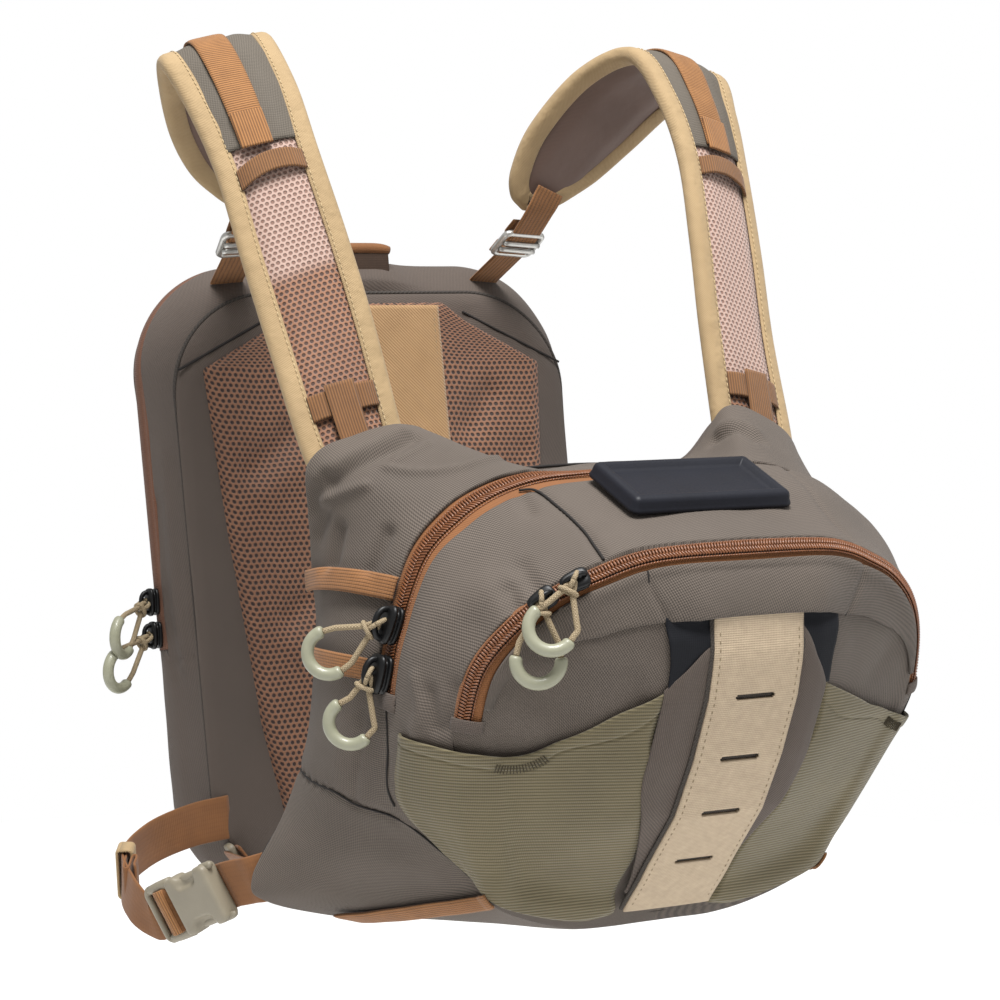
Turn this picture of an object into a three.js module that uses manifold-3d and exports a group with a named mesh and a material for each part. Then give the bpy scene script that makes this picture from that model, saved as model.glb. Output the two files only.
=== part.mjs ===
// Fishing chest pack and small backpack, joined by two padded shoulder straps and two side straps.
// Millimetres, +Z up, the chest pack facing -Y, left and right as seen from the front.
import * as THREE from 'three';
import { mergeVertices } from 'three/addons/utils/BufferGeometryUtils.js';
import Module from 'manifold-3d';

// The point midway between the straps' undersides, where the load rests on the shoulders.
const SHOULDER_SEAT = [0, 156, 447];

const CLOTH = 2;
const GAP = 0.3;
const ZIP_WIDTH = 15;
const WEBBING = 1.6;

// Chest pack: half outline from bottom centre to top centre, mirrored for the left half.
// edge is the rim at the back panel, lift its height over the panel, puff the fullness of the side,
// seam the line of the main zip and its continuation, pocket the line of the front pocket's zip.
const CHEST_STATIONS = [
  { name: 'bottom', edge: [0, 8], lift: 0, puff: 3, seam: [0, -52, 8], pocket: [0, -64, 18] },
  { name: 'base', edge: [60, 9], lift: 0, puff: 3, seam: [48, -53, 9], pocket: [46, -64, 19] },
  { name: 'base corner', edge: [123, 9], lift: 0, puff: 3, seam: [88, -56, 24], pocket: [88, -66, 31] },
  { name: 'low wing foot', edge: [169, 18], lift: 0, puff: 2, seam: [104, -52, 42], pocket: [102, -73, 50] },
  { name: 'low wing tip', edge: [177, 31], lift: 0, puff: 1, seam: [121, -49, 60], pocket: [113, -81, 72] },
  { name: 'low wing top', edge: [165, 63], lift: 0, puff: 3, seam: [141, -45, 84], pocket: [120, -90, 94] },
  { name: 'waist', edge: [156, 100], lift: 0, puff: 5, seam: [146, -46, 108], pocket: [128, -97, 112] },
  { name: 'zip end', edge: [151, 132], lift: 0, puff: 7, seam: [147, -47, 132], pocket: [131, -101, 125] },
  { name: 'side', edge: [150, 165], lift: 0, puff: 8, seam: [141, -48, 165], pocket: [128, -109, 152] },
  { name: 'shoulder', edge: [147, 200], lift: 0, puff: 4, seam: [128, -49, 201], pocket: [116, -120, 173] },
  { name: 'high wing side', edge: [142, 237], lift: 30, puff: 0, seam: [108, -50, 220], pocket: [98, -129, 189] },
  { name: 'high wing tip', edge: [126, 252], lift: 30, puff: 0, seam: [88, -51, 231], pocket: [77, -136, 199] },
  { name: 'high wing neck', edge: [96, 259], lift: 28, puff: 0, seam: [66, -53, 237], pocket: [60, -140, 205] },
  { name: 'neck slope', edge: [68, 234], lift: 13, puff: 0, seam: [42, -55, 239], pocket: [40, -144, 208] },
  { name: 'top', edge: [0, 236], lift: 0, puff: 2, seam: [0, -57, 240], pocket: [0, -146, 209] },
];
const ZIP_FROM = 7;
const TOP = CHEST_STATIONS.length - 1;
const CHEST_CENTRE_Z = 115;
// Middle line of the front pocket, from its zip down to the bottom.
const FRONT_PROFILE = [
  { z: 19, y: -66 },
  { z: 48, y: -89 },
  { z: 76, y: -113 },
  { z: 105, y: -129 },
  { z: 136, y: -142 },
  { z: 160, y: -147.5 },
  { z: 183, y: -150 },
  { z: 209, y: -146 },
];
const BACK_PANEL = 5;

// Shoulder strap, right side: its two edges from the chest pack up over the shoulder and down the back.
const STRAP_ROWS = [
  { inner: [93, 25, 236], outer: [139, 27, 224], half: 4.2 },
  { inner: [96, 35, 256], outer: [147, 39, 243], half: 4.2 },
  { inner: [101, 56, 309], outer: [153, 67, 296], half: 4.2 },
  { inner: [107, 75, 355], outer: [159, 88, 342], half: 4.2 },
  { inner: [113, 97, 400], outer: [164, 109, 387], half: 4.2 },
  { inner: [114, 122, 435], outer: [171, 132, 423], half: 4.2 },
  { inner: [113, 156, 461], outer: [176, 155, 446], half: 4.2 },
  { inner: [99, 188, 451], outer: [164, 184, 433], half: 4.2 },
  { inner: [82, 212, 421], outer: [148, 208, 410], half: 4.2 },
  { inner: [76, 224, 396], outer: [131, 222, 391], half: 3 },
  { inner: [78, 229, 381], outer: [114, 228, 379], half: 2.6 },
  { inner: [86, 231, 373], outer: [101, 231, 372], half: 2.6 },
];
const STRAP_COLUMNS = [0, 0.19, 0.28, 0.5, 0.72, 0.81, 1];
const STRAP_EDGE = 2.6;
const BINDING_LEG = 9.2;
const BINDING_CLOTH = 1;

// Backpack: leaning forward at the foot; outlines from the panel against the wearer to the outer face.
const BACKPACK_FOOT = [204.7, -12];
const BACKPACK_LEAN = THREE.MathUtils.degToRad(10.8);
const BACKPACK_RINGS = [
  { name: 'panel seam', depth: 0.3, upper: 126, lower: 118, top: 340, foot: 4, topRound: 62, footRound: 50 },
  { name: 'gusset', depth: 14, upper: 133, lower: 127, top: 355, foot: -3, topRound: 64, footRound: 54 },
  { name: 'zip front', depth: 25.7, upper: 137, lower: 134, top: 361, foot: -6, topRound: 65, footRound: 56 },
  { name: 'zip back', depth: 40.3, upper: 136, lower: 133, top: 358, foot: -5, topRound: 64, footRound: 56 },
  { name: 'outer face rim', depth: 58, upper: 124, lower: 121, top: 345, foot: 8, topRound: 58, footRound: 52 },
  { name: 'crown', depth: 72, upper: 102, lower: 99, top: 322, foot: 28, topRound: 46, footRound: 42 },
  { name: 'face', depth: 80, upper: 56, lower: 52, top: 276, foot: 76, topRound: 24, footRound: 22 },
];
const BACKPACK_POLE = { depth: 82, height: 178 };
const BACKPACK_PANEL = 4;

const V = (x, y, z) => new THREE.Vector3(x, y, z);
const smooth = (x, low, high) => THREE.MathUtils.smoothstep(x, low, high);
const lerp = (a, b, t) => a + (b - a) * t;
const SIDES = [
  { tag: 'left', s: -1 },
  { tag: 'right', s: 1 },
];

const wasm = await Module();
wasm.setup();

const pack = new THREE.Group();
pack.position.set(-SHOULDER_SEAT[0], -SHOULDER_SEAT[1], -SHOULDER_SEAT[2]);

const finish = (color, roughness, metalness) =>
  new THREE.MeshStandardMaterial({ color, roughness, metalness });
const cloth = (color, roughness = 0.9) => finish(color, roughness, 0);
const TAUPE = '#6f675c';
const BEIGE = '#c9a878';
const BROWN = '#8a5a34';
const COPPER = '#8f5430';
const OLIVE = '#6d6a48';
const NAVY = '#2e3038';
const FOAM = '#26262b';
const MESH_PINK = '#a5826f';
const MESH_BROWN = '#7b5644';
const TAN = '#b08d5e';
const STRIP = '#c4b18c';
const PLASTIC = '#9a917c';
const BLACK = '#1c1c1e';

function add(name, geometry, material) {
  const mesh = new THREE.Mesh(geometry, material);
  mesh.name = name;
  pack.add(mesh);
  return mesh;
}

// A closed surface gathered triangle by triangle, turned so that its faces point out.
class Facets {
  constructor() {
    this.points = [];
    this.known = new Map();
    this.faces = [];
  }

  id(p) {
    const key = `${p.x.toFixed(3)},${p.y.toFixed(3)},${p.z.toFixed(3)}`;
    if (!this.known.has(key)) {
      this.known.set(key, this.points.length);
      this.points.push(p.clone());
    }
    return this.known.get(key);
  }

  tri(a, b, c) {
    const t = [this.id(a), this.id(b), this.id(c)];
    if (new Set(t).size === 3) this.faces.push(t);
  }

  quad(a, b, c, d) {
    this.tri(a, b, c);
    this.tri(a, c, d);
  }

  geometry() {
    let volume = 0;
    for (const [a, b, c] of this.faces) {
      volume += this.points[a].dot(V(0, 0, 0).crossVectors(this.points[b], this.points[c]));
    }
    const order = volume < 0 ? ([a, b, c]) => [a, c, b] : (t) => t;
    const geometry = new THREE.BufferGeometry();
    geometry.setFromPoints(this.points);
    geometry.setIndex(this.faces.flatMap(order));
    geometry.computeVertexNormals();
    return geometry;
  }
}

// Two matching grids of points, the two faces of a sheet, closed along every open edge.
function sheet(outer, inner, wrap = false, keep = () => true) {
  const f = new Facets();
  const columns = outer[0].length;
  const last = wrap ? columns : columns - 1;
  const on = (i, j) => {
    const k = wrap ? (j + columns) % columns : j;
    return i >= 0 && i < outer.length - 1 && k >= 0 && k < last && keep(i, k);
  };
  for (let i = 0; i < outer.length - 1; i += 1) {
    for (let j = 0; j < last; j += 1) {
      if (!on(i, j)) continue;
      const k = (j + 1) % columns;
      const [a, b, c, d] = [outer[i][j], outer[i][k], outer[i + 1][k], outer[i + 1][j]];
      const [e, g, h, l] = [inner[i][j], inner[i][k], inner[i + 1][k], inner[i + 1][j]];
      if (a.distanceTo(c) <= b.distanceTo(d)) {
        f.quad(a, b, c, d);
        f.quad(e, l, h, g);
      } else {
        f.quad(b, c, d, a);
        f.quad(g, e, l, h);
      }
      if (!on(i - 1, j)) f.quad(outer[i][k], outer[i][j], inner[i][j], inner[i][k]);
      if (!on(i + 1, j)) f.quad(outer[i + 1][j], outer[i + 1][k], inner[i + 1][k], inner[i + 1][j]);
      if (!on(i, j - 1)) f.quad(outer[i][j], outer[i + 1][j], inner[i + 1][j], inner[i][j]);
      if (!on(i, j + 1)) f.quad(outer[i + 1][k], outer[i][k], inner[i][k], inner[i + 1][k]);
    }
  }
  return f.geometry();
}

// A flat section of [across, normal] pairs carried along frames, with both ends closed.
function sweep(frames, section) {
  const f = new Facets();
  const place = ({ p, a, b }, [x, y]) => p.clone().addScaledVector(a, x).addScaledVector(b, y);
  const rings = frames.map((frame) => section.map((q) => place(frame, q)));
  const count = section.length;
  for (let i = 0; i < rings.length - 1; i += 1) {
    for (let j = 0; j < count; j += 1) {
      const k = (j + 1) % count;
      f.quad(rings[i][j], rings[i][k], rings[i + 1][k], rings[i + 1][j]);
    }
  }
  const flat = section.map(([x, y]) => new THREE.Vector2(x, y));
  const end = rings[rings.length - 1];
  const clockwise = THREE.ShapeUtils.isClockWise(flat);
  for (const [a, b, c] of THREE.ShapeUtils.triangulateShape(flat, [])) {
    const [p, q, r] = clockwise ? [a, c, b] : [a, b, c];
    f.tri(rings[0][p], rings[0][r], rings[0][q]);
    f.tri(end[p], end[q], end[r]);
  }
  return f.geometry();
}

// Frames along a line of points; across is made square to the line at each point.
function framesAlong(points, across) {
  return points.map((p, i) => {
    const before = points[Math.max(i - 1, 0)];
    const after = points[Math.min(i + 1, points.length - 1)];
    const t = after.clone().sub(before).normalize();
    const want = Array.isArray(across) ? across[i] : across;
    const a = want.clone().addScaledVector(t, -want.dot(t)).normalize();
    const b = V(0, 0, 0).crossVectors(t, a).normalize();
    return { p, a, b, t };
  });
}

const box = (width, height) => [
  [-width / 2, -height / 2],
  [width / 2, -height / 2],
  [width / 2, height / 2],
  [-width / 2, height / 2],
];
const ribbon = (points, across, width, height = WEBBING) =>
  sweep(framesAlong(points, across), box(width, height));

// A webbing end turned round a bar: over it, half round and back along its own underside.
function hook(bar, along, up, radius, back) {
  const turn = [90, 45, 0, -45, -90].map((degrees) => {
    const q = THREE.MathUtils.degToRad(degrees);
    const [forward, over] = [radius * Math.cos(q), radius * Math.sin(q)];
    return bar.clone().addScaledVector(along, forward).addScaledVector(up, over);
  });
  return [...turn, turn[4].clone().addScaledVector(along, -back)];
}

function solid(geometry) {
  const bare = geometry.clone();
  bare.deleteAttribute('normal');
  bare.deleteAttribute('uv');
  const merged = mergeVertices(bare, 1e-3);
  const vertProperties = new Float32Array(merged.attributes.position.array);
  const triVerts = new Uint32Array(merged.index.array);
  return new wasm.Manifold(new wasm.Mesh({ numProp: 3, vertProperties, triVerts }));
}

function meshed(manifold) {
  const { vertProperties, triVerts } = manifold.getMesh();
  const geometry = new THREE.BufferGeometry();
  geometry.setAttribute('position', new THREE.BufferAttribute(new Float32Array(vertProperties), 3));
  geometry.setIndex(new THREE.BufferAttribute(new Uint32Array(triVerts), 1));
  geometry.computeVertexNormals();
  return geometry;
}

// A round tube along a smooth line.
function tube(points, radius, steps) {
  const shape = new THREE.Shape();
  shape.absarc(0, 0, radius, 0, Math.PI * 2);
  const extrudePath = new THREE.CatmullRomCurve3(points);
  return new THREE.ExtrudeGeometry(shape, { steps, curveSegments: 4, extrudePath, bevelEnabled: false });
}

// A flat outline with holes given a thickness, centred on p in the plane of a and t.
function plate(outline, holes, height, { p, a, t }) {
  const shape = new THREE.Shape(outline.map(([x, y]) => new THREE.Vector2(x, y)));
  for (const hole of holes) shape.holes.push(new THREE.Path(hole.map(([x, y]) => new THREE.Vector2(x, y))));
  const geometry = new THREE.ExtrudeGeometry(shape, { depth: height, steps: 1, bevelEnabled: false });
  geometry.translate(0, 0, -height / 2);
  const turn = new THREE.Matrix4().makeBasis(a, t, V(0, 0, 0).crossVectors(a, t));
  turn.setPosition(p);
  return geometry.applyMatrix4(turn);
}

const rectangle = (x0, y0, x1, y1) => [[x0, y0], [x1, y0], [x1, y1], [x0, y1]];
const softened = (x, y, r) => [
  [-x + r, -y], [x - r, -y], [x, -y + r], [x, y - r], [x - r, y], [-x + r, y], [-x, y - r], [-x, -y + r],
];

function profileY(z) {
  const rows = FRONT_PROFILE;
  const i = Math.max(1, rows.findIndex((row) => row.z >= z));
  const [low, high] = z > rows[rows.length - 1].z ? rows.slice(-2) : [rows[i - 1], rows[i]];
  return lerp(low.y, high.y, (z - low.z) / (high.z - low.z));
}
const frontY = (x, z) => profileY(z) + 30 * Math.max(0, (Math.abs(x) - 38) / 88) ** 1.2;

// The back panel follows the chest: hollow across, its upper wings set back behind the straps,
// its lower wing tips bent back round the ribs.
const backY = (x, z) =>
  20 + 5 * (x / 182) ** 2 + 21.7 * smooth(z, 198, 245) * smooth(Math.abs(x), 40, 90)
  + 18 * smooth(-z, -95, -35) * smooth(Math.abs(x), 120, 180);

// The points of one chest station, from the rim at the back to the middle of the front.
function chestStation({ edge, lift, puff, seam, pocket }) {
  const e = V(edge[0], backY(...edge) - lift, edge[1]);
  const s = V(...seam);
  const p = V(...pocket);
  const outward = V(edge[0], 0, edge[1] - CHEST_CENTRE_Z).normalize();
  const reach = Math.min(ZIP_WIDTH / 2 + GAP, 0.25 * s.distanceTo(p));
  const toward = (from, to, d) => from.clone().addScaledVector(to.clone().sub(from).normalize(), d);
  const front = (k) => {
    const x = k * p.x;
    const z = CHEST_CENTRE_Z + k * (p.z - CHEST_CENTRE_Z);
    return V(x, lerp(frontY(x, z), p.y, k ** 4), z);
  };
  const side = s.clone().lerp(p, 0.5).addScaledVector(outward, 0.9 * puff);
  const rear = toward(s, e, reach);
  const full = (t) => e.clone().lerp(rear, t).addScaledVector(outward, puff * 4 * t * (1 - t));
  const rim = toward(p, side, reach);
  const divider = (k) =>
    V(k * rim.x, lerp(-94, rim.y + 9, k), CHEST_CENTRE_Z + k * (rim.z - CHEST_CENTRE_Z));
  return {
    skin: [
      e, full(0.3), full(0.65), rear, toward(s, side, reach), side, rim,
      toward(p, front(0.85), reach), front(0.85), front(0.65), front(0.42), front(0.2), front(0),
    ],
    zip: [rear, s, toward(s, side, reach)],
    pocketZip: [rim, p, toward(p, front(0.85), reach)],
    divider: [divider(0.95), divider(0.5), divider(0)],
  };
}
const STATIONS = CHEST_STATIONS.map(chestStation);
const mirror = (p) => V(-p.x, p.y, p.z);
const ring = (pick) => [
  ...STATIONS.map(pick),
  ...STATIONS.slice(1, -1).reverse().map((station) => mirror(pick(station))),
];

// Normals of a grid that closes round its columns, pointing out of the pack.
function normals(grid) {
  const columns = grid[0].length;
  return grid.map((row, i) => row.map((p, j) => {
    const du = row[(j + 1) % columns].clone().sub(row[(j + columns - 1) % columns]);
    const dv = grid[Math.min(i + 1, grid.length - 1)][j].clone().sub(grid[Math.max(i - 1, 0)][j]);
    if (du.length() < 1e-6) return V(0, -1, 0);
    return V(0, 0, 0).crossVectors(du, dv).normalize();
  }));
}
const moved = (grid, by, d) =>
  grid.map((row, i) => row.map((p, j) => p.clone().addScaledVector(by[i][j], d)));

const SKIN = STATIONS[0].skin.map((_, r) => ring((station) => station.skin[r]));
const SKIN_NORMALS = normals(SKIN);
const between = (grid, u, v) => {
  const i = Math.min(Math.floor(v), grid.length - 2);
  const j = Math.min(Math.floor(u), TOP - 1);
  const low = grid[i][j].clone().lerp(grid[i][j + 1], u - j);
  return low.lerp(grid[i + 1][j].clone().lerp(grid[i + 1][j + 1], u - j), v - i);
};
// A point on the chest pack's skin at station u and ring v, a height over it, on either side.
function onSkin(s, u, v, height) {
  const p = between(SKIN, u, v).addScaledVector(between(SKIN_NORMALS, u, v).normalize(), height);
  return V(s * p.x, p.y, p.z);
}

// Chest pack: one sewn body with a wall behind the front pocket and an arched slot for the main zip.
const inArch = (j) => (j >= ZIP_FROM && j < 2 * TOP - ZIP_FROM);
const chestOuter = [...SKIN.slice(0, 7), ...[0, 1, 2].map((r) => ring((station) => station.divider[r]))];
const chestNormals = normals(chestOuter);
const chestInner = moved(chestOuter, chestNormals, -CLOTH);
chestInner[0] = chestOuter[0].map((p, j) => {
  const next = chestOuter[0][(j + 1) % chestOuter[0].length];
  const before = chestOuter[0][(j + chestOuter[0].length - 1) % chestOuter[0].length];
  const along = next.clone().sub(before);
  const q = p.clone().addScaledVector(V(-along.z, 0, along.x).normalize(), CLOTH);
  q.y += backY(q.x, q.z) - backY(p.x, p.z);
  return q;
});
add('chest_shell', sheet(chestOuter, chestInner, true, (i, j) => !(i === 3 && inArch(j))), cloth(TAUPE));

const panelRings = [1, 0.8, 0.5, 0.2, 0].map((k) => chestOuter[0].map((p) => {
  const x = k * p.x;
  const z = CHEST_CENTRE_Z + k * (p.z - CHEST_CENTRE_Z);
  return V(x, backY(x, z) + 2 * GAP, z);
}));
const panelBack = panelRings.map((row) => row.map((p) => p.clone().add(V(0, BACK_PANEL, 0))));
add('chest_back_panel', sheet(panelRings, panelBack, true), cloth(TAUPE));

// A zip's tape and coil in its slot, following the stations from one end of the arch to the other.
function zipBand(pick) {
  const stations = [];
  for (let u = ZIP_FROM; u <= TOP; u += 1) stations.push(u);
  const lines = stations.map((u) => STATIONS[u][pick].map((p) => p.clone()));
  lines[0] = lines[0].map((p, i) => p.lerp(lines[1][i], 0.02));
  const all = [...lines, ...lines.slice(0, -1).reverse().map((line) => line.map(mirror))];
  const rows = [0.08, 0.36, 0.64, 0.92];
  const grid = rows.map((t) => all.map(([a, m, b]) => {
    const flat = a.clone().lerp(b, t);
    const bowed = t < 0.5 ? a.clone().lerp(m, 2 * t) : m.clone().lerp(b, 2 * t - 1);
    return flat.lerp(bowed, 0.5);
  }));
  const up = grid.map((row, i) => row.map((p, j) => {
    const du = row[Math.min(j + 1, row.length - 1)].clone().sub(row[Math.max(j - 1, 0)]);
    const dv = grid[Math.min(i + 1, 3)][j].clone().sub(grid[Math.max(i - 1, 0)][j]);
    return V(0, 0, 0).crossVectors(du, dv).normalize();
  }));
  const height = [0.2, 1.2, 1.2, 0.2];
  const outer = grid.map((row, i) => row.map((p, j) => p.clone().addScaledVector(up[i][j], height[i])));
  return sheet(outer, moved(outer, up, -CLOTH));
}
add('main_zip', zipBand('zip'), cloth(COPPER, 0.8));

// Front pocket: a full bowl in front of the divider, its arched zip along the upper edge.
const pocketOuter = [
  ring((station) => station.skin[6].clone().lerp(station.skin[7], 0.05)),
  ...SKIN.slice(7),
];
const pocketInner = moved(pocketOuter, normals(pocketOuter), -CLOTH);
pocketInner[0] = pocketOuter[0].map((p) => {
  const inward = V(-p.x, 0, CHEST_CENTRE_Z - p.z).normalize();
  return p.clone().addScaledVector(inward, CLOTH);
});
add('front_pocket', sheet(pocketOuter, pocketInner, true, (i, j) => !(i === 0 && inArch(j))), cloth(TAUPE));
add('front_pocket_zip', zipBand('pocketZip'), cloth(COPPER, 0.8));

// Stretch pockets: a knitted panel on each side, from the low seam round to the middle strip.
const STRETCH_ROWS = [
  { ring: 4.25, from: 2.25, to: 6.3 },
  { ring: 5, from: 2.1, to: 6.25 },
  { ring: 6, from: 1.9, to: 6.3 },
  { ring: 7, from: 0.75, to: 6.35 },
  { ring: 8, from: 0.75, to: 6.6 },
  { ring: 9, from: 1.05, to: 7.3 },
  { ring: 10, from: 1.9, to: 8.6 },
];
for (const { tag, s } of SIDES) {
  const row = (height) => ({ ring: v, from, to }) =>
    [0, 0.125, 0.25, 0.375, 0.5, 0.625, 0.75, 0.875, 1].map((t) => onSkin(s, lerp(from, to, t), v, height));
  add(`stretch_pocket_${tag}`, sheet(STRETCH_ROWS.map(row(2.9)), STRETCH_ROWS.map(row(1.7))), cloth(OLIVE));
}

// Middle of the front: the dark expansion gusset and the slotted strip sewn over it.
const STRIP_ROWS = [
  { z: 178, slot: false }, { z: 160, slot: false }, { z: 138.4, slot: true }, { z: 135.6, slot: false },
  { z: 120, slot: false }, { z: 107, slot: true }, { z: 104.2, slot: false }, { z: 90, slot: false },
  { z: 77.8, slot: true }, { z: 75.2, slot: false }, { z: 62, slot: false }, { z: 50, slot: true },
  { z: 47.4, slot: false }, { z: 32, slot: false }, { z: 20, slot: false },
];
const STRIP_COLUMNS = [-25, -9.5, 9.5, 25];
const onFront = (x, z, height) => V(x, frontY(x, z) - height, z);
const stripGrid = (height) => STRIP_ROWS.map(({ z }) => STRIP_COLUMNS.map((x) => onFront(x, z, height)));
const notSlot = (i, j) => !(STRIP_ROWS[i].slot && j === 1);
add('tool_strip', sheet(stripGrid(3.8), stripGrid(2.2), false, notSlot), cloth(STRIP));
const GUSSET_ROWS = [
  { z: 177, half: 49 }, { z: 168, half: 48 }, { z: 158, half: 47 }, { z: 150, half: 46 },
];
const gussetGrid = (height) => GUSSET_ROWS.map(({ z, half }) =>
  [-1, -0.6, 0, 0.6, 1].map((t) => onFront(t * half, z, height)));
add('expansion_gusset', sheet(gussetGrid(1.7), gussetGrid(0.5)), cloth(NAVY));

// Fly patch: a moulded foam block with bevelled edges on the slope between the two zips.
const slope = V(0, 41, 15.5).normalize();
const patchFrame = { p: V(0, -91, 234.4), a: V(1, 0, 0), t: slope, b: V(0, -slope.z, slope.y) };
const PATCH_SECTION = [[-45.5, 0], [45.5, 0], [45.5, 3.5], [42.5, 7], [-42.5, 7], [-45.5, 3.5]];
const patchEnds = [-23, 23].map((d) => {
  const p = patchFrame.p.clone().addScaledVector(slope, d).addScaledVector(patchFrame.b, -3.5);
  return { p, a: patchFrame.a, b: patchFrame.b };
});
add('fly_patch', sweep(patchEnds, PATCH_SECTION), cloth(FOAM, 0.6));

// Webbing on the chest pack: two loops on the left side, and the bottom webbing on both sides.
function skinBand(s, rows, low, high) {
  const line = (height) => rows.map(({ v, u, half }) =>
    [u - half, u + half].map((w) => onSkin(s, w, v, height)));
  return sheet(line(high), line(low));
}
const LOOPS = [
  { name: 'side_loop_upper_left', u: 8.52 },
  { name: 'side_loop_lower_left', u: 7.42 },
];
for (const { name, u } of LOOPS) {
  add(name, skinBand(-1, [0.12, 1, 2, 2.85].map((v) => ({ v, u, half: 0.14 })), 1.8, 3.2), cloth(BROWN));
}
for (const { tag, s } of SIDES) {
  const rows = [0.5, 1, 2, 2.8].map((v) => ({ v, u: lerp(3.05, 1.92, (v - 0.5) / 2.3), half: 0.16 }));
  add(`bottom_webbing_${tag}`, skinBand(s, rows, 1.6, 3), cloth(BROWN));
}

// Shoulder straps.
// Each row of the table and a row halfway to the next, on smooth lines through the two edges.
function strapRows(s) {
  const points = (edge) => STRAP_ROWS.map(({ [edge]: p }) => V(s * p[0], p[1], p[2]));
  const line = (edge) => new THREE.CatmullRomCurve3(points(edge));
  const [inner, outer] = [line('inner'), line('outer')];
  const last = STRAP_ROWS.length - 1;
  const rows = Array.from({ length: 2 * last + 1 }, (_, k) => {
    const [i, o] = [inner.getPoint(k / 2 / last), outer.getPoint(k / 2 / last)];
    const half = (STRAP_ROWS[Math.floor(k / 2)].half + STRAP_ROWS[Math.ceil(k / 2)].half) / 2;
    return { i, o, half, mid: i.clone().lerp(o, 0.5) };
  });
  rows.forEach((row, k) => {
    const t = rows[Math.min(k + 1, rows.length - 1)].mid.clone().sub(rows[Math.max(k - 1, 0)].mid);
    const across = row.o.clone().sub(row.i);
    row.n = V(0, 0, 0).crossVectors(across, t).normalize().multiplyScalar(s);
    row.across = across.clone().normalize();
    row.width = across.length();
  });
  return rows;
}
// A point over the strap's outer face: r counts table rows, t goes from the inner edge to the outer one.
function onStrap(rows, tableRow, t, height) {
  const r = 2 * tableRow;
  const k = Math.min(Math.floor(r), rows.length - 2);
  const at = (row) => row.i.clone().lerp(row.o, t).addScaledVector(row.n, row.half + height);
  return at(rows[k]).lerp(at(rows[k + 1]), r - k);
}
const HALVES = (half) => [STRAP_EDGE, STRAP_EDGE, half, half + 0.2, half, STRAP_EDGE, STRAP_EDGE];
for (const { tag, s } of SIDES) {
  const rows = strapRows(s);
  const face = (sign) => rows.map(({ i, o, n, half }) => STRAP_COLUMNS.map((t, c) =>
    i.clone().lerp(o, t).addScaledVector(n, sign * HALVES(half)[c])));
  add(`strap_pad_${tag}`, sheet(face(1), face(-1)), cloth(MESH_PINK));

  const rim = [
    ...rows.map(({ i, n }) => ({ p: i, n })),
    ...[...rows].reverse().map(({ o, n }) => ({ p: o, n })),
  ];
  const frames = rim.map(({ p, n }, k) => {
    const t = rim[Math.min(k + 1, rim.length - 1)].p.clone().sub(rim[Math.max(k - 1, 0)].p).normalize();
    const a = V(0, 0, 0).crossVectors(n, t).normalize().multiplyScalar(s);
    const b = V(0, 0, 0).crossVectors(a, t).normalize().multiplyScalar(s);
    return { p, a, b };
  });
  const lift = STRAP_EDGE + 6 * GAP;
  const [leg, lip, top] = [-BINDING_LEG, GAP + BINDING_CLOTH, lift + BINDING_CLOTH];
  const wrap = [
    [leg, lift], [leg, top], [lip, top], [lip, -top], [leg, -top], [leg, -lift], [GAP, -lift], [GAP, lift],
  ];
  add(`strap_binding_${tag}`, sweep(frames, wrap), cloth(BEIGE));

  const strapBand = (list, low, high) => sheet(
    list.map(({ r, from, to }) => [from, 0.5, to].map((t) => onStrap(rows, r, t, high))),
    list.map(({ r, from, to }) => [from, 0.5, to].map((t) => onStrap(rows, r, t, low))),
  );
  const run = (from, to, steps, t0, t1) => Array.from({ length: steps + 1 }, (_, k) =>
    ({ r: lerp(from, to, k / steps), from: t0, to: t1 }));
  const daisy = [4.4, 4.5, 5, 5.5, 6, 6.5, 7, 7.5, 8, 8.5, 9].map((r) => ({ r, from: 0.36, to: 0.64 }));
  add(`strap_webbing_${tag}`, strapBand(daisy, 1, 2.4), cloth(BROWN));
  add(`strap_band_upper_${tag}`, strapBand(run(4.08, 4.3, 2, 0.22, 0.78), 0.6, 2), cloth(BROWN));
  add(`strap_band_lower_${tag}`, strapBand(run(1.32, 1.52, 2, 0.22, 0.78), 0.6, 2), cloth(BROWN));

  const end = rows[rows.length - 1];
  const anchor = V(s * 86, 277, 331);
  const start = rows[rows.length - 4].mid.clone().addScaledVector(rows[rows.length - 4].n, -STRAP_EDGE - 5);
  const leave = end.mid.clone().addScaledVector(end.n, -STRAP_EDGE - 5);
  const along = anchor.clone().sub(leave).normalize();
  const across = V(1, 0, 0).addScaledVector(along, -along.x).normalize();
  const up = V(0, 0, 0).crossVectors(along, across).normalize();
  const lock = leave.clone().lerp(anchor, 0.42);
  const upperBar = lock.clone().addScaledVector(along, -6);
  const lowerBar = lock.clone().addScaledVector(along, 6);
  const back = along.clone().negate();
  const upperRun = [start, leave, ...hook(upperBar, along, up, 3.4, 9)];
  const lowerRun = [anchor, ...hook(lowerBar, back, up, 3.4, 9)];
  add(`adjuster_webbing_${tag}`, ribbon(upperRun, across, 20), cloth(BROWN));
  add(`anchor_webbing_${tag}`, ribbon(lowerRun, across, 20), cloth(BROWN));
  const window = 10.6;
  add(`ladder_lock_${tag}`, plate(
    softened(13.5, 7.8, 2),
    [rectangle(-window, 1.3, window, 4.2), rectangle(-window, -4.2, window, -1.3)],
    3,
    { p: lock, a: across, t: along },
  ), finish(PLASTIC, 0.4, 0.3));
}

// Backpack body: an open-fronted shell with a slot for its zip, closed by the padded panel.
const lean = (x, height, depth) => V(
  x,
  BACKPACK_FOOT[0] + height * Math.sin(BACKPACK_LEAN) + depth * Math.cos(BACKPACK_LEAN),
  BACKPACK_FOOT[1] + height * Math.cos(BACKPACK_LEAN) - depth * Math.sin(BACKPACK_LEAN),
);
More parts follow.
